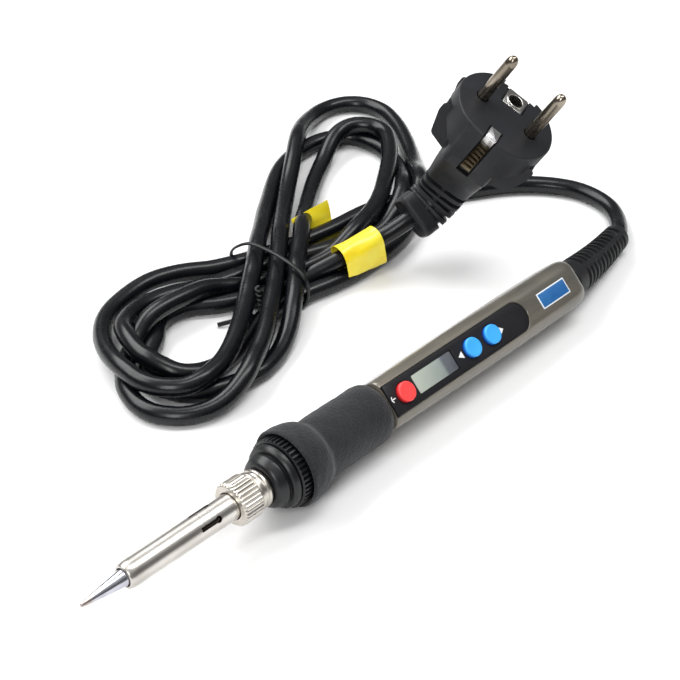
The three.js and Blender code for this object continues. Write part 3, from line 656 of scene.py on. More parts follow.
# From the iron's boot to the plug's neck: four bends to the left of the tie and three to its right.
CORD_ROUTE = [
    (118.5, 6.6, 5.4), (122, 7.8, 5.2), (130.5, 14, 3.8), (136, 21, 3), (138, 29, 3), (137.2, 37.5, 3),
    (132, 47.5, 3), (124, 56, 3), (114.5, 62.5, 3), (105, 68.5, 3), (95, 74.5, 3), (84.5, 79, 3),
    (73.5, 81.5, 3), (62, 82.5, 3), (50.5, 84.5, 3), (39.5, 87, 3), (28.5, 90.5, 3), (18, 95, 3.5),
    (8, 100, 5), (-3, 103, 6), (-14.5, 102.5, 6), (-25.5, 99, 6), (-34, 91.5, 6.5), (-40, 81.5, 7.5),
    (-43, 70.5, 8), (-42.5, 59.5, 8), (-35, 51, 8), (-23.5, 51, 8.5), (-13, 55.5, 8.5),
    (-3.5, 61.5, 8.5), (6, 68.5, 8.5), (15, 75.5, 8.5), (24, 82.5, 8.5), (33, 90, 8), (42, 97, 7),
    (50.5, 104, 5.5), (60, 111, 4), (69, 117.5, 3), (79, 123, 3), (90.5, 125.5, 3), (101.5, 124.5, 3),
    (110.5, 118, 3), (112, 107, 3), (108, 96, 3.5), (101.5, 87, 5), (93.5, 79, 8), (84, 73, 7),
    (73, 70.5, 3.5), (62, 72, 3), (51, 75.5, 3), (40.5, 79.5, 3), (29.5, 83.5, 3), (18.5, 86.5, 3),
    (7.5, 89.5, 3.5), (-3.5, 93, 5), (-15, 93.5, 6), (-25.5, 89, 7.5), (-32, 80, 8.5), (-34.5, 69, 8),
    (-30.5, 59, 6), (-20, 56, 4), (-8.5, 58, 3), (2.5, 62, 3), (13.5, 64.5, 3), (25, 64, 3),
    (36, 62, 3), (47.5, 60, 3), (59, 60, 3), (70.5, 61.5, 3), (81, 65, 4), (91, 70, 7.5), (100, 77, 9),
    (107.5, 85.5, 5.5), (115, 94, 3.5), (122, 103, 3), (128, 112.5, 3), (132, 123.5, 3),
    (130, 132.5, 3), (124.4, 137.6, 3), (117, 139.2, 3.6), (109, 137.3, 5), (99, 132.5, 7.5),
    (89.5, 126, 9.2), (80, 118.8, 8.6), (70.5, 112, 6.5), (61.5, 105, 6), (52.5, 97.5, 7),
    (44, 90, 8.5), (35.5, 82.5, 9), (27, 75, 9), (18, 67.5, 9), (9, 60.5, 9), (0, 53.5, 9),
    (-10, 47.5, 8), (-20.5, 43, 6.5), (-31.5, 42, 4), (-41.5, 46.5, 3), (-47.5, 56, 3),
    (-45.5, 67.5, 3), (-38.5, 76.5, 3), (-29, 82.5, 4.5), (-18.5, 84.5, 8.5), (-7, 84, 9), (4.5, 83, 7),
    (15.5, 80, 4.5), (26.5, 77, 3), (37, 73.5, 3.5), (48, 70.5, 5.5), (59.5, 71, 9), (70.5, 74, 9),
    (81, 78.5, 9), (90.5, 84.5, 9), (100, 91, 9), (108.5, 98.5, 9), (114.6, 107, 9), (112.6, 114.5, 9),
    (107, 118.8, 8.6), (99.6, 118, 7.3), (90.5, 114, 4.5), (80.5, 108.5, 3.5), (71, 102, 4),
    (62, 95, 5.5), (53, 88, 7.5), (44.5, 80.5, 9), (35.5, 73.5, 9), (27, 66, 9), (18, 58.5, 8.5),
    (9, 52, 5.5), (-1, 47, 3.5), (-12.5, 44.5, 3), (-23.5, 47, 3), (-33.5, 53, 3), (-37, 63.5, 3),
    (-32, 73.5, 3), (-23.5, 81, 3), (-14, 87.5, 3), (-3, 86, 3), (6, 79.5, 3), (16, 74, 3),
    (27, 70, 3.5), (37, 66, 6), (47.5, 61.5, 9.5), (58, 58, 12), (67, 53.5, 17), (71.5, 52.3, 18.6),
]


SETTLING_STEP = 4.0
SETTLING_ROUNDS = 160
SINK = 0.02  # how far the lead drops in a round
EVENING = 0.3  # how much of a sideways drift its neighbours share
RETURN = 0.01  # how much of the drift is taken back
PUSH = 0.3  # each turn's share of an overlap


def settled(route, diameter):
    """The route after its turns have pushed each other a diameter apart, kept smooth and on the bench."""
    start = spline(route, SETTLING_STEP)
    place = start.copy()
    count = len(place)
    first, second = np.triu_indices(count, 4)
    kernel = np.array([1, 2, 3, 4, 3, 2, 1]) / 16
    held = np.zeros(count, bool)
    held[:4] = held[-10:] = True
    for _ in range(SETTLING_ROUNDS):
        place[:, 2] -= SINK
        drift = place - start
        padded = np.pad(drift, ((3, 3), (0, 0)), mode="edge")
        smooth = np.stack([np.convolve(padded[:, k], kernel, "valid") for k in range(3)], axis=1)
        place += EVENING * (smooth - drift) - RETURN * drift
        gap = place[second] - place[first]
        far = np.linalg.norm(gap, axis=1)
        near = far < diameter
        push = gap[near] / far[near][:, None] * ((diameter - far[near]) * PUSH)[:, None]
        np.add.at(place, first[near], -push)
        np.add.at(place, second[near], push)
        place[:, 2] = np.maximum(place[:, 2], diameter / 2)
        place[held] = start[held]
    return place


def add_cord():
    data = bpy.data.curves.new("mains_cord", "CURVE")
    data.dimensions = "3D"
    data.bevel_depth = CORD_D / 2 * MM
    data.bevel_resolution = 7
    data.resolution_u = 3
    data.use_fill_caps = True
    line = spline(settled(CORD_ROUTE, CORD_D), 5.0)
    run = data.splines.new("BEZIER")
    run.bezier_points.add(len(line) - 1)
    for point, place in zip(run.bezier_points, line):
        point.co = Vector(place) * MM
        point.handle_left_type = point.handle_right_type = "AUTO"
    obj = loose("mains_cord", data)
    data.materials.append(CORD)
    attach(obj, "handle")
    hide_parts("cord_lead", "cord_hank", "cord_tail")
    return obj


cord = add_cord()


# ---- Heating end ----
SHANK_END = 47.8
SLOT_FRONT = 40
SLOT_REAR = 45.8
SLOT_HALF = 0.66
SLOT_ANGLE = 15
SLOTS = 4


def soldering_tip():
    """A cone with a tinned point, on a shank painted dark where the barrel covers it: painted shade inside
    the barrel, with a brownish heat tint.
    """
    profile = rounded([
        (0, 0), (0.02, 0.5, 0.3), (1.6, 0.86, 1.2), (14.4, 2.5, 0.6), (15.3, 2.56, 0.3), (15.6, 3.2, 0.2),
        (SHANK_END, 3.2, 0.2), (SHANK_END, 2.2, 0.1), (22, 2.2, 0.3), (20.5, 0),
    ], 0.3)
    nodes = Nodes("tip_metal", Metallic=1.0)
    x = nodes.axis("X")
    haze = nodes.noise(240, 5, 0.6)
    reach = nodes.math("ADD", x, nodes.math("MULTIPLY", haze, 3.0))
    tinned = nodes.ramp(nodes.math("DIVIDE", reach, 10.0), [(0.0, 1.0), (0.42, 1.0), (0.6, 0.0)])
    plated = nodes.mix(nodes.ramp(haze, [(0.3, 0.0), (0.8, 1.0)]), srgb(206, 207, 216), srgb(170, 169, 178))
    tinted = nodes.mix(tinned, plated, srgb(178, 168, 162))
    # painted shade with a heat tint: the shank turns dark brown from about 16 to 20 mm back, inside the
    # barrel
    shank_shade_and_tint = nodes.ramp(nodes.math("DIVIDE", reach, 60.0), [(0.27, 0.0), (0.33, 1.0)])
    nodes.colour(nodes.mix(shank_shade_and_tint, tinted, srgb(52, 46, 42)))
    nodes.roughness(nodes.math("ADD", nodes.math("MULTIPLY", tinned, 0.12), nodes.spread(haze, 0.12, 0.26)))
    nodes.bump(nodes.noise(1800, 3, 0.6, nodes.stretched((1, 0.1, 0.1))), 0.08, 0.05)
    mesh = turned("soldering_tip", profile, 96)
    piece("tip", mesh, IRON, "tip", nodes.material, ["soldering_tip"])


def barrel():
    """The tube, rolled in at its front, with keyhole slots near its rear."""
    outline = [
        (14.7, 2.75, 0.3), (14.45, 3.0, 0.25), (14.7, 3.5, 0.4), (16.2, 3.95, 1.2), (58.6, 3.95, 0.1),
        (58.6, 5, 0.15), (59.4, 5, 0.15), (59.4, 3.5, 0.1), (16.4, 3.5, 0.6), (15.5, 3.25, 0.3),
        (15.1, 2.85, 0.2),
    ]
    tube = turned("tube", rounded(outline, 0.2, 5, closed=True), 128, closed=True)
    slit = [
        (SLOT_FRONT, -SLOT_HALF, 0.12), (SLOT_REAR, -SLOT_HALF, 0.1),
        (SLOT_REAR, SLOT_HALF, 0.1), (SLOT_FRONT, SLOT_HALF, 0.12),
    ]
    eye = circle(SLOT_REAR + 0.5, 0, 1.0, 24)
    cutters = []
    for k in range(SLOTS):
        turn = Matrix.Rotation(math.radians(SLOT_ANGLE - 360 / SLOTS * k), 4, "X")
        for shape in (rounded(slit, 0.1, 3, closed=True), eye):
            cutters.append(moved(slab("slit", shape, 2.4, 5.2), turn))
    piece("barrel", boolean(tube, cutters), IRON, "barrel", STEEL, ["barrel_tube"], angle=30)


def nut():
    """Fluted over its larger part, with a groove and a plain ring behind."""
    flutes = 30
    depth = 0.36
    front, rear, outer = 53.6, 62.3, 6.6
    plain = 6.15

    def knurl(x, r, angle):
        if r < plain:
            return r
        run_in = min(1.0, max(0.0, (x - front - 0.3) / 0.3))
        wave = abs(math.sin(angle * flutes / 2))
        return r - depth * (1 - wave) ** 1.2 * run_in

    outline = [
        (front, 4.25, 0.1), (front, 5.9, 0.15), (front + 0.6, 6.5, 0.1), (front + 0.9, outer, 0),
        (front + 1.4, outer, 0), (60.3, outer, 0), (60.6, 5.75, 0.1), (61.0, 5.6, 0.1), (61.3, 6.0, 0.15),
        (rear - 0.15, 6.0, 0.1), (rear, 5.8, 0.1), (rear, 5.3, 0.1), (58.3, 5.3, 0.1), (58.3, 4.25, 0.1),
    ]
    mesh = turned("nut", rounded(outline, 0.15, 4, closed=True), flutes * 12, closed=True, shape=knurl)
    piece("nut", mesh, IRON, "nut", NICKEL, ["knurled_nut"], angle=50)


def bush():
    outline = [
        (59.7, 3.4, 0.1), (59.7, 4.7, 0.1), (62.6, 4.7, 0.1), (62.6, 5.2, 0.1), (63.3, 5.3, 0.25),
        (63.6, 5.85, 0.25), (64.3, 5.9, 0.25), (65.1, 5.5, 0.2), (65.1, 4.6, 0.1), (74, 4.6, 0.1),
        (74, 3.4, 0.1),
    ]
    mesh = turned("bush", rounded(outline, 0.15, 5, closed=True), 112, closed=True)
    piece("bush", mesh, IRON, "handle", NICKEL, ["threaded_bush"])


# ---- Nose and grip ----
def nose():
    outline = [
        (65.4, 4.9, 0.2), (65.4, 6.4, 0.5), (66.1, 7.35, 0.7), (68.2, 8.2, 0.5), (68.9, 8.2, 0.3),
        (69.2, 7.85, 0.12), (69.6, 7.85, 0.12), (69.6, 9.1, 0.2), (70.4, 9.72, 0.5), (71.6, 9.9, 0.2),
        (71.8, 9.7, 0.12), (71.8, 6.6, 0.1), (80, 6.6, 0.1), (80, 4.9, 0.1),
    ]
    mesh = turned("nose", rounded(outline, 0.2, 6, closed=True), 128, closed=True)
    piece("nose", mesh, IRON, "handle", BLACK, ["nose_cap"])


def teeth_ring():
    teeth = 44

    def tooth(x, r, angle):
        if r < 8:
            return r
        phase = (angle * teeth / TAU) % 1.0
        flat = min(1.0, max(0.0, (abs(phase - 0.5) - 0.18) / 0.08))
        return r - 0.62 * flat * min(1.0, max(0.0, (x - 72.4) / 0.35))

    outline = [
        (72.1, 6.9, 0.1), (72.1, 10.1, 0.2), (72.5, 10.7, 0.1), (73.0, 10.7, 0), (76.6, 10.7, 0.1),
        (76.6, 6.9, 0.1),
    ]
    mesh = turned("teeth", rounded(outline, 0.1, 4, closed=True), teeth * 14, closed=True, shape=tooth)
    piece("ribbed_collar", mesh, IRON, "handle", BLACK, ["ribbed_ring"], angle=45)


def foam():
    outline = [
        (77.2, 7.4, 0.1), (77.2, 11.0, 0.3), (75.3, 11.15, 0.25), (74.95, 11.6, 0.35), (75.4, 12.1, 0.7),
        (79.5, 12.05, 3.0), (83.2, 11.25, 2.0), (84.7, 10.1, 0.7), (85.9, 9.4, 0.9), (109.4, 9.4, 2.0),
        (111.6, 8.7, 1.2), (112, 7.7, 0.3), (112, 7.4, 0.1),
    ]
    profile = rounded(outline, 0.5, 8, closed=True)
    dense = []
    for (x0, r0), (x1, r1) in zip(profile, profile[1:] + profile[:1]):
        steps = max(1, math.ceil(math.hypot(x1 - x0, r1 - r0) / 0.7))
        dense += [(x0 + (x1 - x0) * k / steps, r0 + (r1 - r0) * k / steps) for k in range(steps)]

    def lumpy(x, r, angle):
        if r < 7.8:
            return r
        waves = [(0.05, 3, 0.35), (0.035, 7, -0.8), (0.03, 11, 1.7)]
        return r + sum(size * math.sin(around * angle + along * x) for size, around, along in waves)

    mesh = turned("foam", dense, 160, closed=True, shape=lumpy)
    sleeve = piece("foam_sleeve", mesh, IRON, "handle", FOAM, ["foam_grip"], angle=60)


# ---- Housing ----
HOUSING_FRONT = 112.4
HOUSING_REAR = 203.3
HOUSING_HALF_W = 8.2
HOUSING_HALF_H = 8.4
HOUSING_CORNER = 4.6
REAR_ROUND = 5.5  # the length over which the rear end closes in
REAR_ROUND_START = HOUSING_REAR - REAR_ROUND
PANEL_X0 = 112.9
PANEL_X1 = 175.7
PANEL_HALF = 4.95


def housing_scale(x):
    """How much of the full section the housing has at x."""
    middle = 160
    bulge = 1 - 0.055 * ((x - middle) / (middle - HOUSING_FRONT)) ** 2
    past = max(0.0, x - REAR_ROUND_START) / REAR_ROUND
    return bulge * (0.82 + 0.18 * math.sqrt(max(0.0, 1 - 0.98 * past * past)))


def panel_outline(x0, x1, half, steps=28):
    """Square at its front and a half circle at its rear."""
    turns = [math.pi * k / steps for k in range(steps + 1)]
    arc = [(x1 - half + half * math.sin(turn), -half * math.cos(turn)) for turn in turns]
    front = [(x0 + (x1 - half - x0) * k / 40, -half) for k in range(40)]
    return front + arc + [(x, half) for x, _ in front[::-1]]


def housing():
    """A rounded square shell with a seat for the panel and a fine bead round it."""
    section = []
    corner_steps = 10
    for quarter, (sy, sz) in enumerate([(1, 1), (-1, 1), (-1, -1), (1, -1)]):
        for k in range(corner_steps + 1):
            angle = math.pi / 2 * (quarter + k / corner_steps)
            y = sy * (HOUSING_HALF_W - HOUSING_CORNER) + HOUSING_CORNER * math.cos(angle)
            z = sz * (HOUSING_HALF_H - HOUSING_CORNER) + HOUSING_CORNER * math.sin(angle)
            section.append((y, z))
    rows = [(HOUSING_FRONT, 0.93), (HOUSING_FRONT + 0.25, 0.98), (HOUSING_FRONT + 0.7, 1.0)]
    rows += [(x, 1.0) for x in np.linspace(HOUSING_FRONT + 1.5, REAR_ROUND_START, 44)]
    rows += [(REAR_ROUND_START + REAR_ROUND * math.sin(math.pi / 2 * k / 9), 1.0) for k in range(1, 10)]
    points, faces = [], []
    for x, share in rows:
        scale = housing_scale(x) * share
        points += [(x, y * scale, z * scale) for y, z in section]
    size = len(section)
    for level in range(len(rows) - 1):
        faces += ring_faces(level * size, (level + 1) * size, size)
    faces.append(tuple(range(size))[::-1])
    faces.append(tuple(range((len(rows) - 1) * size, len(rows) * size)))
    body = outward(mesh_of("housing", points, faces))
    spigot = turned("spigot", [(80.3, 0), (80.3, 7.1), (113, 7.1), (113, 0)], 64)
    throat = turned("throat", [(79, 0), (79, 5.7), (116, 5.7), (116, 0)], 64)
    rear_hole = turned("rear_hole", [(197, 0), (197, 4.9), (206, 4.9), (206, 0)], 48)
    cavity = slab("cavity", rectangle(114.5, 200, -6, 6, 1.5), -6, 6)
    pocket = slab("pocket", panel_outline(PANEL_X0 - 0.25, PANEL_X1 + 0.25, PANEL_HALF + 0.25), 6.4, 12)
    shell = boolean(boolean(body, [spigot], "UNION"), [cavity, throat, rear_hole, pocket])
    rim = []
    loop = panel_outline(PANEL_X0 + 0.1, PANEL_X1 + 0.32, PANEL_HALF + 0.32)
    for x, y in loop:
        rim.append((x, y, HOUSING_HALF_H * housing_scale(x) + 0.02))
    bead = swept("bead", rim, lambda s, a: (0.17 * math.cos(a), 0.2 * math.sin(a)), 10)
    mesh = joined("housing_shell", shell, bead)
    piece("housing", mesh, IRON, "handle", HOUSING, ["housing_shell"], angle=32)


KEYS = {"power": 119.3, "down": 149.4, "up": 158.6}


def panel():
    plate = slab("panel", panel_outline(PANEL_X0, PANEL_X1, PANEL_HALF), 6.75, 8.25, 0.18)
    x0, x1, half = WINDOW
    holes = [slab("hole", circle(x, 0, 3.35, 64), 5, 10) for x in KEYS.values()]
    holes.append(slab("hole", rectangle(x0 - 0.25, x1 + 0.25, -half - 0.25, half + 0.25, 0.5), 5, 10))
    piece("panel", boolean(plate, holes), IRON, "handle", PANEL, ["control_panel"], angle=30)
    glass = slab("glass", rectangle(x0, x1, -half, half, 0.45), 7.15, 8.17, 0.12)
    piece("display_glass", glass, IRON, "handle", lcd_material(), ["lcd_window"], angle=30)


def keys():
    looks = {
        "power": key_material("button_red", srgb(246, 62, 62), srgb(190, 22, 30)),
        "down": key_material("button_blue", srgb(52, 164, 246), srgb(16, 78, 186)),
    }
    looks["up"] = looks["down"]
    for name, x in KEYS.items():
        outline = [
            (5.5, 0), (5.5, 3.8, 0.1), (6.3, 3.8, 0.1), (6.3, 3.1, 0.1), (9.5, 3.08, 0.25),
            (9.78, 2.75, 0.25), (9.72, 1.6, 0.6), (9.68, 0),
        ]
        cap = turned("cap", rounded(outline, 0.1, 6), 72)
        cap.transform(UPRIGHT)
        moved(cap, Matrix.Translation((x, 0, 0)))
        piece(f"{name}_cap", cap, IRON, f"{name}_key", looks[name], [f"{name}_button"], angle=45)


def marks():
    """White paint on the panel: a power sign in front of the red key, and an arrowhead by each blue one."""
    top = 8.25
    flat = [
        rounded([(143.2, -0.25), (145.2, -1.4), (145.2, 0.95)], 0.1, 2, closed=True),
        rounded([(164.1, -0.45), (162.5, -1.55), (162.5, 0.75)], 0.1, 2, closed=True),
    ]
    arc = []
    for radius in (1.28, 0.95):
        turn = [math.radians(180 + a) for a in range(-52, 53, 8)]
        arc.append([(114.75 + radius * math.cos(a), 0.1 + radius * math.sin(a)) for a in turn])
    flat.append(arc[0] + arc[1][::-1])
    flat.append(rectangle(113.9, 115.1, -0.06, 0.26, 0.05))
    paint = joined("marks", *(slab("mark", outline, top, top + 0.05) for outline in flat))
    piece("panel_marks", paint, IRON, "handle", WHITE, angle=30)


def label():
    x0, x1, half = 182.6, 196.2, 2.65

    def follow(x, _):
        return HOUSING_HALF_H * housing_scale(x) - HOUSING_HALF_H

    cut = 0.2
    steps = 23
    run = [(x1 - x0 - 2 * cut) * k / steps for k in range(steps + 1)]
    outline = [(x0 + cut + x, -half) for x in run] + [(x1, -half + cut), (x1, half - cut)]
    outline += [(x1 - cut - x, half) for x in run] + [(x0, half - cut), (x0, -half + cut)]
    mesh = modified(slab("label", outline, 8.38, 8.56, 0.05, 2, top=follow), "TRIANGULATE")
    look = label_material(x0, x1, half)
    piece("maker_label", mesh, IRON, "handle", look, ["blue_label"], angle=40)


# ---- Strain relief ----
def boot():
    """A collar, then ribs broken by a narrow web above and below, on a boot that bends to the lead."""
    inside = 6
    collar = 5.4
    ribs = 12
    cleft = 0.56  # the share of each rib's pitch that is groove
    inverse = IRON.inverted()
    end = inverse @ LEAD_EXIT / MM
    after = inverse @ (Vector(CORD_ROUTE[2]) * MM) / MM
    start = Vector((203.5, 0, 0))
    middle = start.lerp(end, 0.55) + Vector((1.0, -0.6, 0))
    last_point = end - (after - end).normalized() * 0.1
    path = spline([start - Vector((inside, 0, 0)), start, middle, last_point], 0.25)
    total = float(np.linalg.norm(np.diff(path, axis=0), axis=1).sum())
    first = inside + collar
    last = total - 2.2
    pitch = (last - first) / ribs

    def size(s, angle):
        share = min(1.0, max(0.0, (s - inside) / (total - inside)))
        r = 6.45 - 2.0 * share
        if s < inside:
            r = 4.5
        elif s < inside + 0.4:
            r -= 0.35 * (inside + 0.4 - s) / 0.4
        elif s > total - 0.6:
            r -= 0.5 * (s - total + 0.6) / 0.6
        if first < s < last:
            phase = ((s - first) / pitch) % 1.0
            groove = max(0.0, math.sin(math.pi * phase / cleft)) ** 0.35 if phase < cleft else 0.0
            side = abs(math.sin(angle + 0.2))
            web = min(1.0, max(0.0, (side - 0.14) / 0.08))
            r -= 1.6 * groove * web
        return r * math.cos(angle), r * math.sin(angle)

    mesh = swept("boot", path, size, 72)
    piece("boot", mesh, IRON, "handle", BOOT, ["strain_relief"], angle=50)


# ---- Plug ----
PIN_X = 9.5
EARTH_HOLE_Y = 9


def plug_outline(shrink=0.0):
    """Round, with its near and far sides drawn in to flatter arcs."""
    radius = 17.5 - shrink
    near = 16.2 - shrink
    flat_radius = 27
    points = []
    for x, y in circle(0, 0, radius, 96):
        limit = near - flat_radius + math.sqrt(flat_radius * flat_radius - x * x)
        points.append((x, math.copysign(min(abs(y), limit), y)))
    return points


def side_grip(side):
    """The finger grip under the rim: slanted above and below."""
    outline = [(5, -5), (17.2, -5), (17.2, -8.2), (14.8, -16.6), (8.4, -18.8), (5, -18.8)]
    profile = rounded([(x * side, z) for x, z in outline][::side], 0.7, 3, closed=True)
    grip = slab("grip", profile, -8.6, 8.6, 0.7, 3)
    grip.transform(ON_SIDE)
    return outward(grip)


def plug_neck():
    """The block's taper into a squarish neck with slots across it, bending to the lead."""
    inverse = PLUG.inverted()
    neck_points = [
        (80.5, 42.7, 36.4), (79.3, 46.2, 30), (77.6, 49.3, 24.2), (73.6, 51.8, 19.6), (67.6, 53.3, 17),
    ]
    local = [tuple(inverse @ (Vector(p) * MM) / MM) for p in neck_points]
    path = spline([(0, -0.6, -11), (0, -0.4, -18), *local], 0.25)
    total = float(np.linalg.norm(np.diff(path, axis=0), axis=1).sum())
    slots = 5
    slot_pitch = 3.5
    slot_first = total - 3.4 - slots * slot_pitch

    def size(s, angle):
        share = min(1.0, max(0.0, (s - 5) / (total * 0.5)))
        ease = share * share * (3 - 2 * share)
        half_w = 9.4 * (1 - ease) + 7.9 * ease
        half_h = 12.6 * (1 - ease) + 6.5 * ease
        end = max(0.0, s - total + 1.2)
        half_w -= 0.6 * end * end
        half_h -= 0.6 * end * end
        c, d = math.cos(angle), math.sin(angle)
        square = 0.42
        a = half_w * math.copysign(abs(c) ** square, c)
        b = half_h * math.copysign(abs(d) ** square, d)
        phase = (s - slot_first) / slot_pitch
        if 0 <= phase < slots and phase % 1.0 < 0.42:
            off_spine = min(1.0, max(0.0, (abs(a) - 1.3) / 0.35))
            return a * (1 - 0.16 * off_spine), b * (1 - 0.24 * off_spine)
        return a, b

    return swept("neck", path, size, 144, (1, 0, 0))


def plug_moulding():
    """The head, with its slopes, finger grips, neck, earth channels and pin holes."""
    slope = [(6.6, -15), (22, -15), (22, -2.9), (6.6, -13)]
    wedges = []
    for side in (-1, 1):
        wedge = slab("wedge", [(x * side, z) for x, z in slope][::side], -30, 30)
        wedge.transform(ON_SIDE)
        wedges.append(outward(wedge))
    rim = boolean(slab("rim", plug_outline(), -13.4, 0, 0.6, 5), wedges)
    block = slab("block", rectangle(-8.6, 8.6, -15.6, 15.6, 2.4), -17.4, -2, 0.9, 4)
    core = slab("core", plug_outline(3.4), -15, -7, 1.6, 4)
    body = boolean(rim, [block, core, side_grip(-1), side_grip(1), plug_neck()], "UNION")
    cutters = [
        slab("cut", rectangle(-2.3, 2.3, -19, -13.6, 0.3), -17.0, 1),
        slab("cut", rectangle(-2.5, 2.5, -17, -9.4, 0.4), -1.2, 2),
        slab("cut", rectangle(-4.3, 4.3, 4.9, 19, 0.5), -2.4, 1),
        slab("cut", rectangle(-6.2, 6.2, 12.4, 19, 0.4), -1.6, 1),
        slab("cut", circle(0, EARTH_HOLE_Y, 3.2, 40), -16, 1),
    ]
    cutters += [slab("cut", circle(PIN_X * side, 0, 2.25, 32), -8, 1.5) for side in (-1, 1)]
    body = boolean(body, cutters)
    return piece("plug_moulding", body, PLUG, "handle", PLUG_PVC, ["plug_body"], angle=32)


def contact_pin(number, side):
    outline = [
        (-7, 0), (-7, 2, 0.1), (15.8, 2, 0.2), (17.2, 1.86, 0.8), (18.4, 1.3, 0.6), (18.9, 0.4, 0.3), (19, 0),
    ]
    pin = turned("pin", rounded(outline, 0.4, 6), 48)
    pin.transform(UPRIGHT)
    moved(pin, Matrix.Translation((PIN_X * side, 0, 0)))
    stands_for = [f"plug_pin_{number}"]
    return piece(f"contact_pin_{number}", pin, PLUG, "handle", PIN, stands_for, angle=45)


def earth_strip():
    """A strip folded over the face, with seven ridges down the plug's side."""
    strip = [slab("strip", rectangle(-1.95, 1.95, -15.2, -9.8, 0.25), -0.85, 0.25, 0.25, 3)]
    leg = slab("leg", rectangle(-1.9, 1.9, -16.4, -0.4, 0.3), 13.9, 14.5, 0.12, 2)
    leg.transform(ON_SIDE)
    strip.append(leg)
    for k in range(7):
        low = -14.6 + k * 1.75
        ridge = slab("ridge", rectangle(-1.6, 1.6, low, low + 0.7, 0.12), 14.4, 14.85, 0.14, 2)
        ridge.transform(ON_SIDE)
        strip.append(ridge)
    mesh = joined("strip", *strip)
    return piece("earth_strip", mesh, PLUG, "handle", clip_material(), ["earth_clip"], angle=30)


def earth_plate():
    """The plate with its tab, the collar round the hole, and the sleeve down it."""
    plate = slab("plate", rectangle(-3.7, 3.7, 5.3, 13.4, 0.4), -0.85, -0.2, 0.1, 2)
    plate = boolean(plate, [slab("hole", circle(0, EARTH_HOLE_Y, 2.6, 48), -3, 2)])
    tab = slab("tab", rectangle(-3.7, 0.9, 5.0, 5.55, 0.1), -2.2, -0.2, 0.12, 2)
    ring_outline = [(-0.6, 2.5, 0.1), (0.25, 2.55, 0.2), (0.25, 3.0, 0.2), (-0.6, 3.15, 0.1)]
    ring = turned("ring", rounded(ring_outline, 0.1, 4, closed=True), 56, closed=True)
    sleeve = turned("sleeve", [(-13, 2.5), (-13, 2.75), (-0.6, 2.75), (-0.6, 2.5)], 56, closed=True)
    for tube in (ring, sleeve):
        tube.transform(UPRIGHT)
        moved(tube, Matrix.Translation((0, EARTH_HOLE_Y, 0)))
    earth = joined("earth", plate, tab, ring, sleeve)
    return piece("earth_plate", earth, PLUG, "handle", BRIGHT, ["earth_socket"], angle=30)


# ---- Paper flags and the twist tie ----
def paper_loop(name, length, place, yaw, pitch, section, replaces):
    """Label paper bent round a section in the local YZ plane, with a slight curl at its edges."""
    thick = 0.22
    line = np.array(section, float)
    rows = 22
    count = len(line)
    along = np.gradient(line, axis=0)
    normal = np.stack([along[:, 1], -along[:, 0]], axis=1)
    normal /= np.linalg.norm(normal, axis=1)[:, None]
    points, faces = [], []
    for k in range(rows + 1):
        t = k / rows
        x = (t - 0.5) * length
        flare = 0.25 * (2 * t - 1) ** 4
        for offset in (0.0, thick):
            for i, (y, z) in enumerate(line):
                curl = flare + 0.12 * math.sin(6 * t + 0.4 * i)
                points.append((x, y + normal[i, 0] * (offset + curl), z + normal[i, 1] * (offset + curl)))
    ring = 2 * count
    for k in range(rows):
        a, b = k * ring, (k + 1) * ring
        for i in range(count - 1):
            faces.append((a + i, a + i + 1, b + i + 1, b + i))
            faces.append((a + count + i, b + count + i, b + count + i + 1, a + count + i + 1))
        faces.append((a, b, b + count, a + count))
        faces.append((a + count - 1, a + 2 * count - 1, b + 2 * count - 1, b + count - 1))
    for a in (0, rows * ring):
        for i in range(count - 1):
            quad = (a + i, a + count + i, a + count + i + 1, a + i + 1)
            faces.append(quad if a == 0 else quad[::-1])
    mesh = outward(mesh_of(name, points, faces))
    turn = Matrix.Rotation(yaw, 4, "Z") @ Matrix.Rotation(pitch, 4, "Y")
    at = Matrix.Translation(Vector(place) * MM) @ turn
    return piece(name, mesh, at, "handle", PAPER, replaces, angle=50)


def flags():
    half_w, half_h = 4.2, 6.7
    upright = half_h - half_w
    oval = []
    for k in range(61):
        angle = -math.pi / 2 + 0.06 + (TAU - 0.12) * k / 60
        lift = upright if math.sin(angle) > 0 else -upright
        oval.append((half_w * math.cos(angle), half_w * math.sin(angle) + lift))
    front = paper_loop("front_paper", 15, (50.5, 60.3, 8.3), -0.23, -0.16, oval, ["front_flag"])
    fold = [(y, 0.25) for y in np.linspace(-8, 0.6, 10)]
    for k in range(1, 9):
        angle = -math.pi / 2 + math.pi / 2 * k / 9
        fold.append((0.6 + 4.6 * math.cos(angle), 4.85 + 4.6 * math.sin(angle)))
    for k in range(1, 12):
        t = k / 11
        fold.append((5.2 + 0.4 * t + 1.4 * t * t, 4.85 + 5.2 * t))
    rear = paper_loop("rear_paper", 17, (57, 82, 0), -0.03, 0, fold, ["rear_flag"])
    return [front, rear]


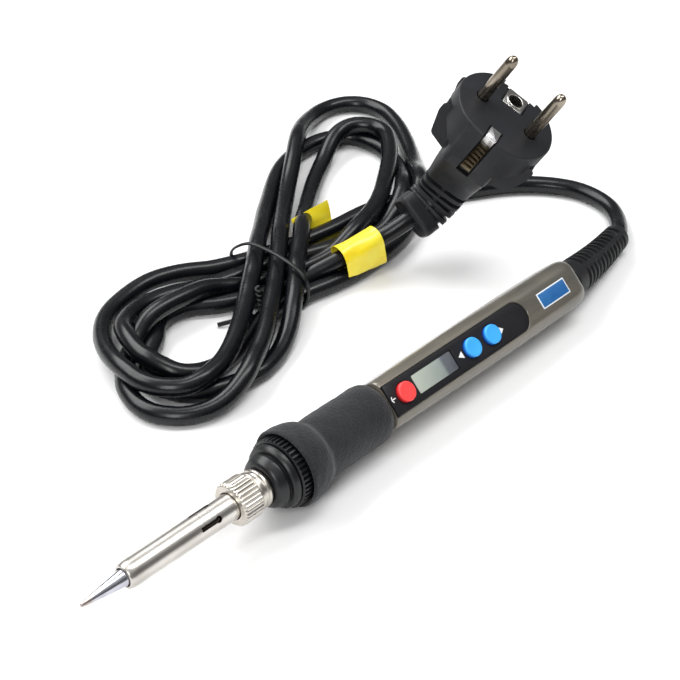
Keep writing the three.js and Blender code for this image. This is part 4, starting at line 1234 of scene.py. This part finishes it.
def twist_tie():
    """A plastic-coated wire over the bundle's waist and down both sides, with a twisted end and a tail."""
    def oval(half_w, half_h):
        return lambda s, angle: (half_w * math.cos(angle), half_h * math.sin(angle))

    over = [
        (26.6, 95.2, 1.5), (25.8, 95.1, 5), (24.6, 91.2, 10), (25.6, 86, 13.2), (26.5, 79, 13.6),
        (26.3, 70.5, 13.6), (25.8, 64.6, 13), (25.9, 60.9, 10.5), (26.1, 60.0, 6), (25.4, 60.0, 3),
        (24, 60.6, 0.9), (19, 62, 0.8),
    ]
    wire = swept("wire", spline(over, 0.6), oval(0.75, 0.45), 14, (1, 0, 0))
    coil = []
    steps, turns, wide = 71, 6, 0.75
    for k in range(steps + 1):
        t = k / steps
        turn = TAU * turns * t
        coil.append((12 - 3 * t + wide * math.cos(turn), 68.6 - 4.2 * t + wide * math.sin(turn), 11 - 7 * t))
    twist = swept("twist", coil, oval(0.6, 0.6), 10)
    tail_line = spline([(9, 64.6, 4.2), (5, 68.5, 2.4), (1.5, 71.6, 1.6), (-1.6, 73.6, 1.1)], 0.6)
    tail = swept("tail", tail_line, oval(0.85, 0.5), 12)
    mesh = joined("tie", wire, twist, tail)
    return piece("wire_tie", mesh, PART, "handle", TIE, ["twist_tie"], angle=60)


# ---- CAD nodes inside the housing, which keep their own shape ----
INNER = [
    (CERAMIC, ["heating_element", "heater_holder"]),
    (LCD_CELL, ["lcd_module"]),
    (BOARD, ["circuit_board"]),
    (COMPONENT, ["power_switch", "down_switch", "up_switch", "power_triac", "controller_chip"]),
    (CAPACITOR, ["filter_capacitor"]),
    (BLACK, ["cord_clamp"]),
    (WIRE_WHITE, ["heater_lead_1", "heater_lead_2"]),
    (WIRE_EARTH, ["earth_lead"]),
    (WIRE_BROWN, ["mains_lead_1"]),
    (WIRE_BLUE, ["mains_lead_2"]),
]


def inner_nodes():
    for material, names in INNER:
        for name in names:
            mesh = frame["nodes"][name].data
            mesh.materials.clear()
            mesh.materials.append(material)


# ---- Studio ----
def area_light(name, place, target, size, power):
    data = bpy.data.lights.new(name, "AREA")
    data.shape = "RECTANGLE"
    data.size, data.size_y = size
    data.energy = power
    light = bpy.data.objects.new(name, data)
    bpy.context.scene.collection.objects.link(light)
    light.location = place
    light.rotation_mode = "QUATERNION"
    light.rotation_quaternion = (Vector(target) - Vector(place)).to_track_quat("-Z", "Y")


def studio():
    """A pale floor, a sky that is dim near the horizon, and three soft lights."""
    reach = 6000
    corners = [(-reach, -reach, 0), (reach, -reach, 0), (reach, reach, 0), (-reach, reach, 0)]
    floor_mesh = mesh_of("floor", corners, [(0, 1, 2, 3)])
    floor = loose("floor", floor_mesh)
    nodes = Nodes("floor_paper", Specular_IOR_Level=0.1)
    nodes.colour(nodes.ramp(nodes.noise(4, 3), [(0.3, 0.86), (0.8, 0.88)]))
    nodes.roughness(nodes.spread(nodes.noise(30), 0.9, 1.0))
    floor_mesh.materials.append(nodes.material)
    world = bpy.data.worlds.new("studio")
    world.use_nodes = True
    tree = world.node_tree
    place = tree.nodes.new("ShaderNodeTexCoord")
    split = tree.nodes.new("ShaderNodeSeparateXYZ")
    ramp = tree.nodes.new("ShaderNodeValToRGB")
    stops = [(0.0, 0.3), (0.3, 0.22), (0.5, 0.24), (0.6, 0.5), (0.8, 0.8), (1.0, 1.0)]
    while len(ramp.color_ramp.elements) < len(stops):
        ramp.color_ramp.elements.new(0.5)
    for element, (where, grey) in zip(ramp.color_ramp.elements, stops):
        element.position = where
        element.color = (grey, grey, grey, 1)
    tree.links.new(place.outputs["Generated"], split.inputs["Vector"])
    tree.links.new(split.outputs["Z"], ramp.inputs["Fac"])
    tree.links.new(ramp.outputs["Color"], tree.nodes["Background"].inputs["Color"])
    tree.nodes["Background"].inputs["Strength"].default_value = 0.7
    bpy.context.scene.world = world
    area_light("key", (-0.15, 0.75, 0.85), (0, 0.05, 0), (1.3, 0.6), 14.0)
    area_light("fill", (-0.85, -0.45, 0.75), (0, 0.03, 0.02), (0.35, 0.7), 6.0)
    area_light("top", (0.35, -0.15, 1.1), (0.02, 0.05, 0.0), (0.3, 0.9), 7.0)
    bpy.context.scene.view_settings.view_transform = "Standard"
    bpy.context.scene.view_settings.look = "None"


soldering_tip()
barrel()
nut()
bush()
nose()
teeth_ring()
foam()
housing()
panel()
keys()
marks()
label()
boot()
plug_parts = [plug_moulding(), contact_pin(1, -1), contact_pin(2, 1), earth_strip(), earth_plate()]
flag_parts = flags()
tie = twist_tie()
inner_nodes()
studio()

bpy.context.view_layer.update()
